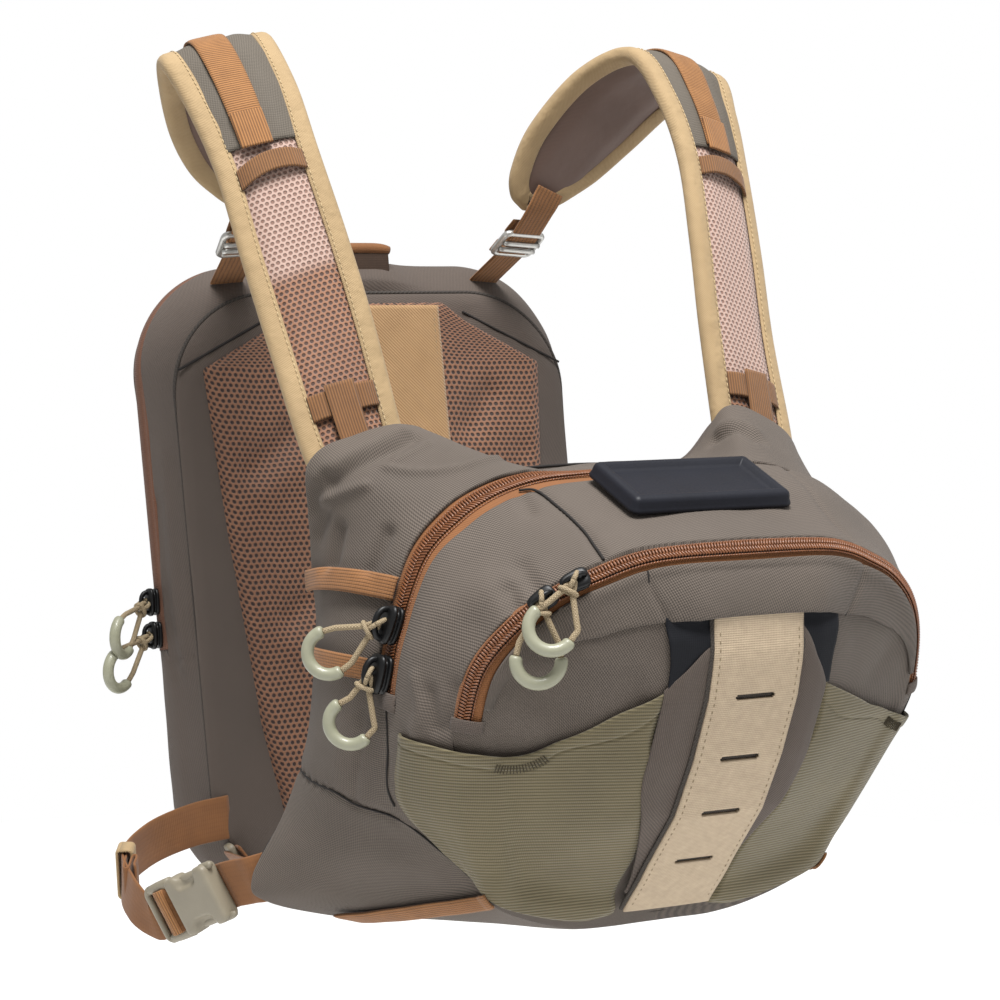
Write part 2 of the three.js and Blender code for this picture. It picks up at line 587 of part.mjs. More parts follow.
// Half an outline with rounded corners, from the middle of the foot to the middle of the top.
function halfOutline({ upper, lower, top, foot, topRound, footRound }) {
  const arc = (x, h, r, from) => [0, 30, 60, 90].map((d) => {
    const q = THREE.MathUtils.degToRad(from + d);
    return [x + r * Math.cos(q), h + r * Math.sin(q)];
  });
  const bottomArc = arc(lower - footRound, foot + footRound, footRound, -90);
  const topArc = arc(upper - topRound, top - topRound, topRound, 0);
  const [sideFoot, sideTop] = [foot + footRound, top - topRound];
  const side = [0.2, 0.36, 0.7].map((t) => [lerp(lower, upper, t), lerp(sideFoot, sideTop, t)]);
  return [[0, foot], ...bottomArc, ...side, ...topArc, [0, top]];
}
const outlines = BACKPACK_RINGS.map((row) => {
  const half = halfOutline(row);
  const left = half.slice(1, -1).reverse().map(([x, h]) => [-x, h]);
  return [...half, ...left];
});
const HALF_COUNT = halfOutline(BACKPACK_RINGS[0]).length;
const shellOuter = [
  ...outlines.map((line, r) => line.map(([x, h]) => lean(x, h, BACKPACK_RINGS[r].depth))),
  outlines[0].map(() => lean(0, BACKPACK_POLE.height, BACKPACK_POLE.depth)),
];
const shellNormals = normals(shellOuter).map((row) => row.map((n) => n.clone().negate()));
const pole = V(0, Math.cos(BACKPACK_LEAN), -Math.sin(BACKPACK_LEAN));
shellNormals[shellNormals.length - 1] = shellOuter[0].map(() => pole);
const shellInner = moved(shellOuter, shellNormals, -CLOTH);
shellInner[0] = outlines[0].map(([x, h]) => lean(x * 0.983, lerp(172, h, 0.988), BACKPACK_RINGS[0].depth));
const BACK_ZIP_FROM = 6;
const inBackArch = (j) => j >= BACK_ZIP_FROM && j < 2 * (HALF_COUNT - 1) - BACK_ZIP_FROM;
const notBackArch = (i, j) => !(i === 2 && inBackArch(j));
add('backpack_shell', sheet(shellOuter, shellInner, true, notBackArch), cloth(TAUPE));

const zipColumns = [];
for (let j = BACK_ZIP_FROM; j <= 2 * (HALF_COUNT - 1) - BACK_ZIP_FROM; j += 1) zipColumns.push(j);
const zipPoint = (t, j, height) => shellOuter[2][j].clone().lerp(shellOuter[3][j], t)
  .addScaledVector(shellNormals[2][j].clone().add(shellNormals[3][j]).normalize(), height);
const zipGrid = (heights) => [0.08, 0.36, 0.64, 0.92].map((t, i) => {
  const row = zipColumns.map((j) => zipPoint(t, j, heights[i]));
  row[0].lerp(row[1], 0.01);
  row[row.length - 1].lerp(row[row.length - 2], 0.01);
  return row;
});
const zipTop = zipGrid([0.2, 1.2, 1.2, 0.2]);
const zipUnder = zipGrid([-1.8, -0.8, -0.8, -1.8]);
add('backpack_zip', sheet(zipTop, zipUnder), cloth(COPPER, 0.8));

const flat = (k, depth) => outlines[0].map(([x, h]) => lean(k * x, lerp(172, h, k), depth));
const levels = [1, 0.85, 0.5, 0];
const panelFace = (depth) => levels.map((k) => flat(k, depth));
add('backpack_panel', sheet(panelFace(0), panelFace(-BACKPACK_PANEL), true), cloth(TAUPE));

// The panel's facing: brown spacer mesh over its whole middle, and the tan strip down the centre.
const MESH_ROWS = [
  { h: 30, half: 72 }, { h: 90, half: 86 }, { h: 200, half: 103 },
  { h: 294, half: 111 }, { h: 333, half: 55 },
];
const across = [-1, -0.7, -0.35, 0, 0.35, 0.7, 1];
const facing = (depth) => MESH_ROWS.map(({ h, half }) => across.map((t) => lean(t * half, h, depth)));
const meshDepth = BACKPACK_PANEL + GAP;
add('back_mesh', sheet(facing(-meshDepth), facing(-meshDepth - 4)), cloth(MESH_BROWN));
const stripDepth = meshDepth + GAP + 4;
const stripFace = (depth) => [32, 130, 230, 331].map((h) => [-50, 0, 50].map((x) => lean(x, h, depth)));
add('back_centre_strip', sheet(stripFace(-stripDepth), stripFace(-stripDepth - 1.6)), cloth(TAN));

// Haul loop: webbing bowed up from the top of the backpack.
const HAUL = [[-20, 4.1], [-18.5, 17], [-11, 24], [0, 25.5], [11, 24], [18.5, 17], [20, 4.1]];
const haulBase = lean(0, 352, 4);
const haulLine = HAUL.map(([x, h]) => haulBase.clone().add(V(x, 0.2 * h, h - 2)));
add('haul_loop', ribbon(haulLine, V(0, 1, 0.15), 16), cloth(BROWN));

// Side straps: webbing from the backpack's side seam, bowed out, through a fastened buckle
// to the chest pack.
const BUCKLE_FRONT = [182, 62, 23];
const BUCKLE_REAR = [200, 113, -1];
const SIDE_BOW = [
  [116.6, 210, 27], [142, 206, 25], [172, 193, 20], [198, 166, 13], [204, 140, 4],
];
for (const { tag, s } of SIDES) {
  const front = V(s * BUCKLE_FRONT[0], BUCKLE_FRONT[1], BUCKLE_FRONT[2]);
  const rear = V(s * BUCKLE_REAR[0], BUCKLE_REAR[1], BUCKLE_REAR[2]);
  const along = rear.clone().sub(front).normalize();
  const lengthway = rear.distanceTo(front);
  const lay = V(-0.355 * s, -0.19, 0.9);
  const wide = lay.addScaledVector(along, -lay.dot(along)).normalize();
  const out = V(0, 0, 0).crossVectors(wide, along).normalize().multiplyScalar(s);
  const at = (d) => front.clone().addScaledVector(along, d);
  const rearBar = at(lengthway - 0.7);
  const bow = SIDE_BOW.map(([x, y, z]) => V(s * x, y, z));
  const back = along.clone().negate();
  const lead = rearBar.clone().addScaledVector(along, 9).addScaledVector(out, 4);
  const turned = [lead, ...hook(rearBar, back, out, 4, 9)];
  const up = [V(0.3 * s, 0, 0.95), ...bow.slice(1).map(() => V(0, 0, 1)), ...turned.map(() => wide)];
  add(`side_webbing_rear_${tag}`, ribbon([...bow, ...turned], up, 25), cloth(BROWN));

  const frame = (d) => ({ p: at(d), a: wide, t: along });
  const femaleLong = 34;
  const slot = rectangle(-12.8, -femaleLong / 2 + 3.4, 12.8, -femaleLong / 2 + 10);
  const female = plate(softened(16, femaleLong / 2, 3), [slot], 11, frame(femaleLong / 2 - 1));
  add(`side_buckle_female_${tag}`, female, cloth(PLASTIC, 0.5));
  const maleLong = lengthway - femaleLong + 2;
  const maleMid = femaleLong - 1 + GAP + maleLong / 2;
  const ladder = rectangle(-13.6, -maleLong / 2 + 5, 13.6, maleLong / 2 - 4);
  const male = plate(softened(16.5, maleLong / 2, 3), [ladder], 3, frame(maleMid));
  add(`side_buckle_male_${tag}`, male, cloth(PLASTIC, 0.5));

  const frontBar = at(0.6);
  const wing = V(s * 174, 50, 29);
  const loop = hook(frontBar, along, out, 7.3, 7);
  add(`side_webbing_front_${tag}`, ribbon([wing, ...loop], wide, 25), cloth(BROWN));

  const grip = framesAlong(bow, V(0, 0, 1))[3];
  const keeperFrame = { p: grip.p, a: grip.a, t: grip.b };
  const keeper = plate(softened(15.5, 5, 1.5), [softened(13.6, 3, 0.8)], 10, keeperFrame);
  add(`side_keeper_${tag}`, keeper, cloth(BEIGE));
}

// Lower left strap: a plain buckle at the backpack's foot and its webbing forward to the chest pack.
const lashBack = V(-113, 203.2, 2);
const lashFront = V(-160, 44.3, 27);
const lashAlong = lashFront.clone().sub(lashBack).normalize();
const lashLay = V(-0.6, 0, 0.8);
const lashWide = lashLay.addScaledVector(lashAlong, -lashLay.dot(lashAlong)).normalize();
const lashUp = V(0, 0, 0).crossVectors(lashAlong, lashWide).normalize();
add('lash_buckle', plate(
  softened(13, 10, 2),
  [rectangle(-10.4, 1.6, 10.4, 6.6), rectangle(-10.4, -6.6, 10.4, -1.6)],
  3.4,
  { p: lashBack, a: lashWide, t: lashAlong },
), cloth(PLASTIC, 0.5));
const lashBar = lashBack.clone().addScaledVector(lashAlong, 8.3);
const lashRun = [lashFront, ...hook(lashBar, lashAlong.clone().negate(), lashUp, 3.2, 12)];
add('lash_webbing', ribbon(lashRun, lashWide, 20), cloth(BROWN));

// Zip sliders with cord and moulded grip: a slider block on the coil, and a pull hanging from its end.
const SLIDERS = [
  { name: 'main_upper', grid: 'main', u: 8.08, lift: 0, hang: [-0.25, 0.75, -0.6] },
  { name: 'main_lower', grid: 'main', u: 7.4, lift: 0, hang: [-0.1, 0.45, -0.85] },
  { name: 'pocket_upper', grid: 'pocket', u: 10.4, lift: 0.36, hang: [-0.3, 0.12, -0.9] },
  { name: 'pocket_lower', grid: 'pocket', u: 9.72, lift: 0, hang: [0.05, 0.2, -0.9] },
  { name: 'backpack_upper', grid: 'backpack', u: 6.33, lift: 0.36, hang: [-0.3, -0.1, -0.9] },
  { name: 'backpack_lower', grid: 'backpack', u: 6.1, lift: 0, hang: [-0.2, 0.6, -0.9] },
];
const EYE_RISE = 6.2;
// The cord's loop through the slider's eye and the curved grip, as [across, down] from the eye.
const PULL_CORD = [[-9, 24], [-6, 13], [-1.6, 3], [0, 0], [1.6, 3], [6, 13], [9, 24]];
const PULL_GRIP = [[-9, 21], [-12.5, 31], [-8, 42], [0, 46], [8, 42], [12.5, 31], [9, 21]];
function sliderSeat({ grid, u }) {
  if (grid === 'backpack') {
    const j = 2 * (HALF_COUNT - 1) - Math.floor(u);
    const t = u - Math.floor(u);
    const p = zipPoint(0.5, j, 1.6).lerp(zipPoint(0.5, j - 1, 1.6), t);
    const along = zipPoint(0.5, j - 1, 0).sub(zipPoint(0.5, j, 0)).normalize();
    return { p, along, up: shellNormals[2][j].clone() };
  }
  const v = grid === 'main' ? 3.5 : 6.5;
  const low = onSkin(-1, Math.floor(u), v, 0);
  const high = onSkin(-1, Math.floor(u) + 1, v, 0);
  const up = onSkin(-1, u, v, 1).sub(onSkin(-1, u, v, 0)).normalize();
  return { p: onSkin(-1, u, v, grid === 'main' ? 2 : 3.1), along: high.sub(low).normalize(), up };
}
for (const slider of SLIDERS) {
  const { p, along, up } = sliderSeat(slider);
  const t = along.clone().addScaledVector(up, -along.dot(up)).normalize();
  const a = V(0, 0, 0).crossVectors(t, up).normalize();
  const middle = p.clone().addScaledVector(up, 2.3);
  const body = plate(softened(4.5, 6, 1.5), [], 4.2, { p: middle, a, t });
  add(`${slider.name}_slider`, body, finish(BLACK, 0.4, 0.6));

  const want = V(...slider.hang);
  const level = want.addScaledVector(up, -want.dot(up)).normalize();
  const hang = level.addScaledVector(up, slider.lift).normalize();
  const wide = V(0, 0, 0).crossVectors(hang, up).normalize();
  const eye = p.clone().addScaledVector(up, EYE_RISE);
  const spot = (x, y) => eye.clone().addScaledVector(wide, x).addScaledVector(hang, y);
  const cord = tube(PULL_CORD.map(([x, y]) => spot(x, y)), 1.2, 12);
  const grip = tube(PULL_GRIP.map(([x, y]) => spot(x, y)), 2.7, 10);
  add(`${slider.name}_pull`, meshed(solid(cord).add(solid(grip))), cloth('#a9a68c', 0.6));
}

export default pack;
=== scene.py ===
import itertools
import math

import bmesh
import bpy
import numpy as np
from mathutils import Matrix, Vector


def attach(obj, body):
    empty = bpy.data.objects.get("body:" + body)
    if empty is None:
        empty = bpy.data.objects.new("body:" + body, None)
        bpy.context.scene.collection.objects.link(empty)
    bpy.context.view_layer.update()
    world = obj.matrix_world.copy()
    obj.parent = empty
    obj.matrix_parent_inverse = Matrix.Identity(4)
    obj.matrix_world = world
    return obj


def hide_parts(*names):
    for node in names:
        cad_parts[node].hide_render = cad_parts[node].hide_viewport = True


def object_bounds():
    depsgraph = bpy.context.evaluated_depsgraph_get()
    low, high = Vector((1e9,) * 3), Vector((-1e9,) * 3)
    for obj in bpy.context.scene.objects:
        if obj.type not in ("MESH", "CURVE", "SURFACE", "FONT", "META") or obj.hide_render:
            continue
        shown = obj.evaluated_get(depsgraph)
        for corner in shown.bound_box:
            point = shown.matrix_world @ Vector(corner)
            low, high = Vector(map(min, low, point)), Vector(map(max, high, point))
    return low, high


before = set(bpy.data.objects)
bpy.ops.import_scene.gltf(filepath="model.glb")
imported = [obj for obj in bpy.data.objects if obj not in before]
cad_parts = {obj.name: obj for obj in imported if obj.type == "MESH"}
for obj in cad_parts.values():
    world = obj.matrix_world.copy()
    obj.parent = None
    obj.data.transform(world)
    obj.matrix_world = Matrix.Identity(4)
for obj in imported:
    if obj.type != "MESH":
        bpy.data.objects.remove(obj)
cad_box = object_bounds()


# Camera, light and floor: the pack hangs in front of a pale studio sweep, lit by one wide soft light
# from the upper left front, a weaker one from the right and an even white surround.
# Every size below is in the pattern's millimetres; SEAT is the point where the straps rest on the shoulders.
SEAT = np.array([0.0, 156.0, 447.0])


def metres(points):
    """Pattern millimetres to metres from the shoulder seat."""
    return (np.asarray(points, float) - SEAT) / 1000


scene = bpy.context.scene
scene.view_settings.view_transform = "Standard"
CAMERA_AZIMUTH = math.radians(-28.9)
CAMERA_ELEVATION = math.radians(5.0)
CAMERA_DISTANCE = 1300.0
CAMERA_AIM = np.array([-127.0, -127.0, 234.0])
FOCAL_PIXELS = 2843.0
PICTURE_PIXELS = 1000
SENSOR_WIDTH = 36
toward_camera = np.array([
    math.sin(CAMERA_AZIMUTH) * math.cos(CAMERA_ELEVATION),
    -math.cos(CAMERA_AZIMUTH) * math.cos(CAMERA_ELEVATION),
    math.sin(CAMERA_ELEVATION),
])
camera_data = bpy.data.cameras.new("camera")
camera = bpy.data.objects.new("camera", camera_data)
scene.collection.objects.link(camera)
camera_data.sensor_width = SENSOR_WIDTH
camera_data.sensor_fit = "HORIZONTAL"
camera_data.lens = FOCAL_PIXELS * SENSOR_WIDTH / PICTURE_PIXELS
camera.location = metres(CAMERA_AIM + CAMERA_DISTANCE * toward_camera)
camera.rotation_euler = Vector(-toward_camera).to_track_quat("-Z", "Y").to_euler()
scene.camera = camera
LIGHT_AIM = (0, -0.1, -0.2)


def soft_light(name, place, size, power):
    """A square area light at place, in metres, turned to LIGHT_AIM."""
    data = bpy.data.lights.new(name, "AREA")
    data.size = size
    data.energy = power
    lamp = bpy.data.objects.new(name, data)
    lamp.location = place
    lamp.rotation_euler = (Vector(LIGHT_AIM) - Vector(place)).to_track_quat("-Z", "Y").to_euler()
    scene.collection.objects.link(lamp)


soft_light("key_light", (-0.42, -1.0, 2.36), 1.3, 146)
soft_light("fill_light", (1.9, -1.2, 0.6), 1.8, 6)


class Wire:
    """A socket in a material's node tree. Arithmetic adds Math nodes, and add() any other node."""

    def __init__(self, tree, socket=None):
        self.tree = tree
        self.socket = socket

    def add(self, kind, settings=None, sockets=None, out=0):
        node = self.tree.nodes.new(kind)
        for key, value in (settings or {}).items():
            setattr(node, key, value)
        for key, value in (sockets or {}).items():
            if isinstance(value, Wire):
                self.tree.links.new(value.socket, node.inputs[key])
            else:
                node.inputs[key].default_value = value
        return Wire(self.tree, node.outputs[out])

    def math(self, operation, *values):
        return self.add("ShaderNodeMath", {"operation": operation}, dict(enumerate(values)))

    def __add__(self, other):
        return self.math("ADD", self, other)

    def __sub__(self, other):
        return self.math("SUBTRACT", self, other)

    def __rsub__(self, other):
        return self.math("SUBTRACT", other, self)

    def __mul__(self, other):
        return self.math("MULTIPLY", self, other)

    __radd__ = __add__
    __rmul__ = __mul__

    def sine(self, pitch):
        """A wave between 0 and 1 that repeats each pitch."""
        return self.math("SINE", self * (2 * math.pi / pitch)) * 0.5 + 0.5

    def step(self, low, high):
        """0 below low and 1 above high, smooth between."""
        sockets = {"Value": self, "From Min": low, "From Max": high}
        return self.add("ShaderNodeMapRange", {"interpolation_type": "SMOOTHSTEP"}, sockets)


# The surround lights the pack softly, and behind it shows as white paper.
SURROUND = 0.5
world = bpy.data.worlds.new("studio")
scene.world = world
world.use_nodes = True
sky = Wire(world.node_tree)
paper = sky.add("ShaderNodeBackground", None, {"Color": (1, 1, 1, 1), "Strength": 1.0})
surround = sky.add("ShaderNodeBackground", None, {"Color": (1, 1, 1, 1), "Strength": SURROUND})
backdrop = sky.add("ShaderNodeMixShader", None, {0: sky.add("ShaderNodeLightPath"), 1: surround, 2: paper})
world.node_tree.links.new(backdrop.socket, world.node_tree.nodes["World Output"].inputs["Surface"])


def paint(text):
    """A linear colour from its six sRGB hex digits."""
    srgb = np.array([int(text[k:k + 2], 16) for k in (0, 2, 4)]) / 255
    linear = np.where(srgb <= 0.04045, srgb / 12.92, ((srgb + 0.055) / 1.055) ** 2.4)
    return (*linear.tolist(), 1.0)


def tint(wire, first, second, factor):
    """Colour first where factor is 0, and second where it is 1."""
    sockets = {0: factor, 6: first, 7: second}
    return wire.add("ShaderNodeMix", {"data_type": "RGBA"}, sockets, 2)


def grain(wire, size, detail=2.0):
    """Noise between 0 and 1 with features of the given size in metres."""
    place = wire.add("ShaderNodeTexCoord", out=3)
    return wire.add("ShaderNodeTexNoise", None, {"Scale": 1 / size, "Detail": detail, "Vector": place})


def surface(name, build, slot=None, **constants):
    """A material for a slot from build(start): its colour, roughness and height in metres, wires or plain."""
    material = bpy.data.materials.new(name)
    if slot:
        material["slot"] = slot
    material.use_nodes = True
    tree = material.node_tree
    shader = tree.nodes["Principled BSDF"]
    colour, roughness, height = build(Wire(tree))
    for key, value in {"Base Color": colour, "Roughness": roughness}.items():
        if isinstance(value, Wire):
            tree.links.new(value.socket, shader.inputs[key])
        else:
            shader.inputs[key].default_value = value
    if height is not None:
        bump = Wire(tree).add("ShaderNodeBump", None, {"Strength": 1.0, "Distance": 1.0, "Height": height})
        tree.links.new(bump.socket, shader.inputs["Normal"])
    for key, value in constants.items():
        shader.inputs[key.replace("_", " ")].default_value = value
    return material


def laid_out(start):
    """The piece's own layout in metres: across, then along."""
    across = start.add("ShaderNodeSeparateXYZ", None, {"Vector": start.add("ShaderNodeUVMap")})
    return across, Wire(start.tree, across.socket.node.outputs[1])


def mottled(dark, pale, size, roughness, detail=2.0):
    """A plain finish: two colours in soft patches of the given size in metres."""
    def build(start):
        return tint(start, paint(dark), paint(pale), grain(start, size, detail)), roughness, None
    return build


FLOOR_DROP = 0.2
FLOOR_RADIUS = 1.3
FLOOR_SIDES = 96
turn = np.linspace(0, 2 * math.pi, FLOOR_SIDES, endpoint=False)
floor_rim = np.stack([np.cos(turn), np.sin(turn), 0 * turn], -1) * FLOOR_RADIUS
floor_rim = floor_rim + (0, 0, cad_box[0][2] - FLOOR_DROP)
floor_mesh = bpy.data.meshes.new("floor")
floor_mesh.from_pydata(floor_rim.tolist(), [], [list(range(FLOOR_SIDES))])
floor = bpy.data.objects.new("floor", floor_mesh)
scene.collection.objects.link(floor)
floor_mesh.materials.append(surface("floor_paper", mottled("f2f2f1", "f6f6f5", 0.6, 0.9)))


# Zip pulls: each slider carries a loop of braided cord hitched through its eye, with both cord ends
# moulded into a curved rubber grip. Two pulls hang on each of the three zips.

# The chest pack's sewn skin is a grid of 28 stations round its outline and 13 rings from the rim at the
# back to the middle of the front: edge x z, lift, puff, main zip seam x y z, pocket zip seam x y z.
STATIONS = np.array([
    [0, 8, 0, 3, 0, -52, 8, 0, -64, 18],
    [60, 9, 0, 3, 48, -53, 9, 46, -64, 19],
    [123, 9, 0, 3, 88, -56, 24, 88, -66, 31],
    [169, 18, 0, 2, 104, -52, 42, 102, -73, 50],
    [177, 31, 0, 1, 121, -49, 60, 113, -81, 72],
    [165, 63, 0, 3, 141, -45, 84, 120, -90, 94],
    [156, 100, 0, 5, 146, -46, 108, 128, -97, 112],
    [151, 132, 0, 7, 147, -47, 132, 131, -101, 125],
    [150, 165, 0, 8, 141, -48, 165, 128, -109, 152],
    [147, 200, 0, 4, 128, -49, 201, 116, -120, 173],
    [142, 237, 30, 0, 108, -50, 220, 98, -129, 189],
    [126, 252, 30, 0, 88, -51, 231, 77, -136, 199],
    [96, 259, 28, 0, 66, -53, 237, 60, -140, 205],
    [68, 234, 13, 0, 42, -55, 239, 40, -144, 208],
    [0, 236, 0, 2, 0, -57, 240, 0, -146, 209],
], float)
AROUND = 2 * (len(STATIONS) - 1)
ZIP_FROM = 7
CHEST_CENTRE_Z = 115.0
ZIP_REACH = 7.8
FRONT_PROFILE = np.array([
    [19, -66], [48, -89], [76, -113], [105, -129], [136, -142], [160, -147.5], [183, -150], [209, -146],
], float)
# The straps drag the hoods' rims: station, and how far its rim moves.
HOOD_PULL = [(17, (-5, 0, 5)), (18, (-16, 0, 6)), (19, (-6, 0, 1)),
             (13, (-5, 0, 2)), (12, (-6, 0, 5.5)), (11, (-5, 0, 2)), (10, (-7, 0, 0))]


def unit(vectors):
    """Vectors scaled to length 1."""
    return vectors / np.maximum(np.linalg.norm(vectors, axis=-1, keepdims=True), 1e-9)


def ease(x, low, high):
    """0 below low and 1 above high, smooth between."""
    t = np.clip((x - low) / (high - low), 0, 1)
    return t * t * (3 - 2 * t)


def back_y(x, z):
    """Depth of the back panel: hollow across, upper wings set back, lower wing tips bent round the ribs."""
    wide = np.abs(x)
    wings = 21.7 * ease(z, 198, 245) * ease(wide, 40, 90)
    tips = 18 * ease(-z, -95, -35) * ease(wide, 120, 180)
    return 20 + 5 * (x / 182) ** 2 + wings + tips


def front_y(x, z):
    """Depth of the front pocket: its middle profile, curving back towards the sides."""
    middle = np.interp(z, FRONT_PROFILE[:, 0], FRONT_PROFILE[:, 1])
    return middle + 30 * np.maximum(0, (np.abs(x) - 38) / 88) ** 1.2


def chest_grid():
    """Rings of the sewn skin, each from the bottom round the right side, over the top and down the left."""
    edge_x, edge_z, lift, puff = STATIONS[:, :4].T
    seam, pocket = STATIONS[:, 4:7], STATIONS[:, 7:10]
    edge = np.stack([edge_x, back_y(edge_x, edge_z) - lift, edge_z], -1)
    outward = unit(np.stack([edge_x, 0 * edge_x, edge_z - CHEST_CENTRE_Z], -1))
    reach = np.minimum(ZIP_REACH, 0.25 * np.linalg.norm(seam - pocket, axis=-1))[:, None]
    side = (seam + pocket) / 2 + outward * (0.9 * puff)[:, None]

    def toward(start, end):
        return start + unit(end - start) * reach

    def front(k):
        x, z = k * pocket[:, 0], CHEST_CENTRE_Z + k * (pocket[:, 2] - CHEST_CENTRE_Z)
        y = front_y(x, z)
        return np.stack([x, y + (pocket[:, 1] - y) * k ** 4, z], -1)

    rear = toward(seam, edge)

    def full(t):
        return edge + (rear - edge) * t + outward * (puff * 4 * t * (1 - t))[:, None]

    rings = [
        edge, full(0.3), full(0.65), rear, toward(seam, side), side, toward(pocket, side),
        toward(pocket, front(0.85)), front(0.85), front(0.65), front(0.42), front(0.2), front(0.0),
    ]
    half = np.stack(rings)
    grid = np.concatenate([half, half[:, 1:-1][:, ::-1] * (-1, 1, 1)], 1)
    for station, pull in HOOD_PULL:
        grid[:3, station] += np.outer((1, 0.7, 0.35), pull)
    return grid


CHEST_GRID = chest_grid()


def spline_weights(t):
    """Catmull-Rom weights of the four points round a place, t of the way from the second to the third."""
    weights = (-t + 2 * t ** 2 - t ** 3, 2 - 5 * t ** 2 + 3 * t ** 3,
               t + 4 * t ** 2 - 3 * t ** 3, t ** 3 - t ** 2)
    return [0.5 * w for w in weights]


def neighbours(points, at):
    """First of the four points round each place, the points carried on straight at both ends, and weights."""
    padded = np.concatenate([2 * points[:1] - points[1:2], points, 2 * points[-1:] - points[-2:-1]])
    i = np.clip(np.floor(at).astype(int), 0, len(points) - 2)
    return i, padded, spline_weights(np.asarray(at, float) - i)


def line(points, at):
    """Points of the smooth line through points, at fractional places at."""
    i, padded, weights = neighbours(np.asarray(points, float), np.asarray(at, float))
    return sum(w[..., None] * padded[i + k] for k, w in enumerate(weights))


def smooth_line(points, count):
    """The smooth line through points, as count places from the first point to the last."""
    return line(points, np.linspace(0, len(points) - 1, count))


def run_along(path):
    """Length along a polyline up to each of its points."""
    return np.r_[0, np.cumsum(np.linalg.norm(np.diff(path, axis=0), axis=-1))]


def at_run(values, run, at):
    """Rows of values where their run along a line reaches each of at."""
    return np.stack([np.interp(at, run, column) for column in values.T], -1)


def chest(u, v):
    """Point of the chest skin at station u, which closes round, and ring v."""
    u, v = np.broadcast_arrays(np.asarray(u, float), np.asarray(v, float))
    rings, padded, weights = neighbours(CHEST_GRID, v)
    j = np.floor(u).astype(int)
    across = spline_weights(u - j)
    total = 0
    for k, w in enumerate(weights):
        row = sum(a[..., None] * padded[rings + k, (j + m - 1) % AROUND] for m, a in enumerate(across))
        total = total + w[..., None] * row
    return total


def chest_up(u, v):
    """Outward direction of the chest skin, square to its two grid directions."""
    du = chest(u + 0.03, v) - chest(np.asarray(u) - 0.03, v)
    dv = chest(u, np.asarray(v) + 0.03) - chest(u, np.asarray(v) - 0.03)
    return unit(np.cross(du, dv))


def over_chest(u, v, height):
    """Point at a height over the chest skin."""
    return chest(u, v) + chest_up(u, v) * np.asarray(height, float)[..., None]


# The backpack's outlines from the panel at the wearer to the outer face:
# depth, upper and lower half width, top and foot height, top and foot corner radius.
BACKPACK_RINGS = np.array([
    [0.3, 128, 126, 340, 4, 62, 50],
    [14, 134, 130.5, 355, -3, 64, 54],
    [25.7, 137, 134, 361, -6, 65, 56],
    [40.3, 136, 133, 358, -5, 64, 56],
    [58, 124, 121, 345, 8, 58, 52],
    [72, 102, 99, 322, 28, 46, 42],
    [80, 56, 52, 276, 76, 24, 22],
    [82, 0.5, 0.5, 178.5, 177.5, 0.4, 0.4],
], float)
BACKPACK_FOOT = (204.7, -12.0)
BACKPACK_LEAN = math.radians(10.8)
BACKPACK_AROUND = 24


def lean(x, height, depth):
    """Point of the leaning backpack: across, up along it, and away from the wearer."""
    y = BACKPACK_FOOT[0] + height * math.sin(BACKPACK_LEAN) + depth * math.cos(BACKPACK_LEAN)
    z = BACKPACK_FOOT[1] + height * math.cos(BACKPACK_LEAN) - depth * math.sin(BACKPACK_LEAN)
    return np.stack(np.broadcast_arrays(x, y, z), -1)


def outline(w, rows):
    """Rounded outline at place w, which goes once round from the middle of the foot.

    1 to 4 is the foot corner, 4 to 8 the side, 8 to 11 the top corner and 12 the middle of the top.
    Places from 12 to 24 go down the left side.
    """
    depth, upper, lower, top, foot, top_round, foot_round = np.moveaxis(rows, -1, 0)
    left = w > BACKPACK_AROUND / 2
    h = np.where(left, BACKPACK_AROUND - w, w)
    side = np.interp(h, [4, 5, 6, 7, 8], [0, 0.2, 0.36, 0.7, 1])
    foot_turn = np.radians(np.clip(h - 1, 0, 3) * 30 - 90)
    top_turn = np.radians(np.clip(h - 8, 0, 3) * 30)
    foot_x = lower - foot_round + foot_round * np.cos(foot_turn)
    foot_h = foot + foot_round + foot_round * np.sin(foot_turn)
    top_x = upper - top_round + top_round * np.cos(top_turn)
    top_h = top - top_round + top_round * np.sin(top_turn)
    x = np.where(h <= 4, foot_x, np.where(h >= 8, top_x, lower + (upper - lower) * side))
    rise = foot + foot_round + (top - top_round - foot - foot_round) * side
    z = np.where(h <= 4, foot_h, np.where(h >= 8, top_h, rise))
    x = np.where(h < 1, (lower - foot_round) * h, np.where(h > 11, (upper - top_round) * (12 - h), x))
    return np.where(left, -x, x), z, depth


def backpack(w, v):
    """Point of the backpack's shell at outline place w and ring v."""
    w, v = np.broadcast_arrays(np.asarray(w, float), np.asarray(v, float))
    return lean(*outline(w, line(BACKPACK_RINGS, v)))


def backpack_up(w, v):
    """Outward direction of the backpack's shell, square to its two grid directions."""
    dw = backpack(np.asarray(w) + 0.02, v) - backpack(np.asarray(w) - 0.02, v)
    dv = backpack(w, np.asarray(v) + 0.02) - backpack(w, np.asarray(v) - 0.02)
    return unit(np.cross(dv, dw))


def over_backpack(w, v, height):
    """Point at a height over the backpack's shell."""
    return backpack(w, v) + backpack_up(w, v) * np.asarray(height, float)[..., None]


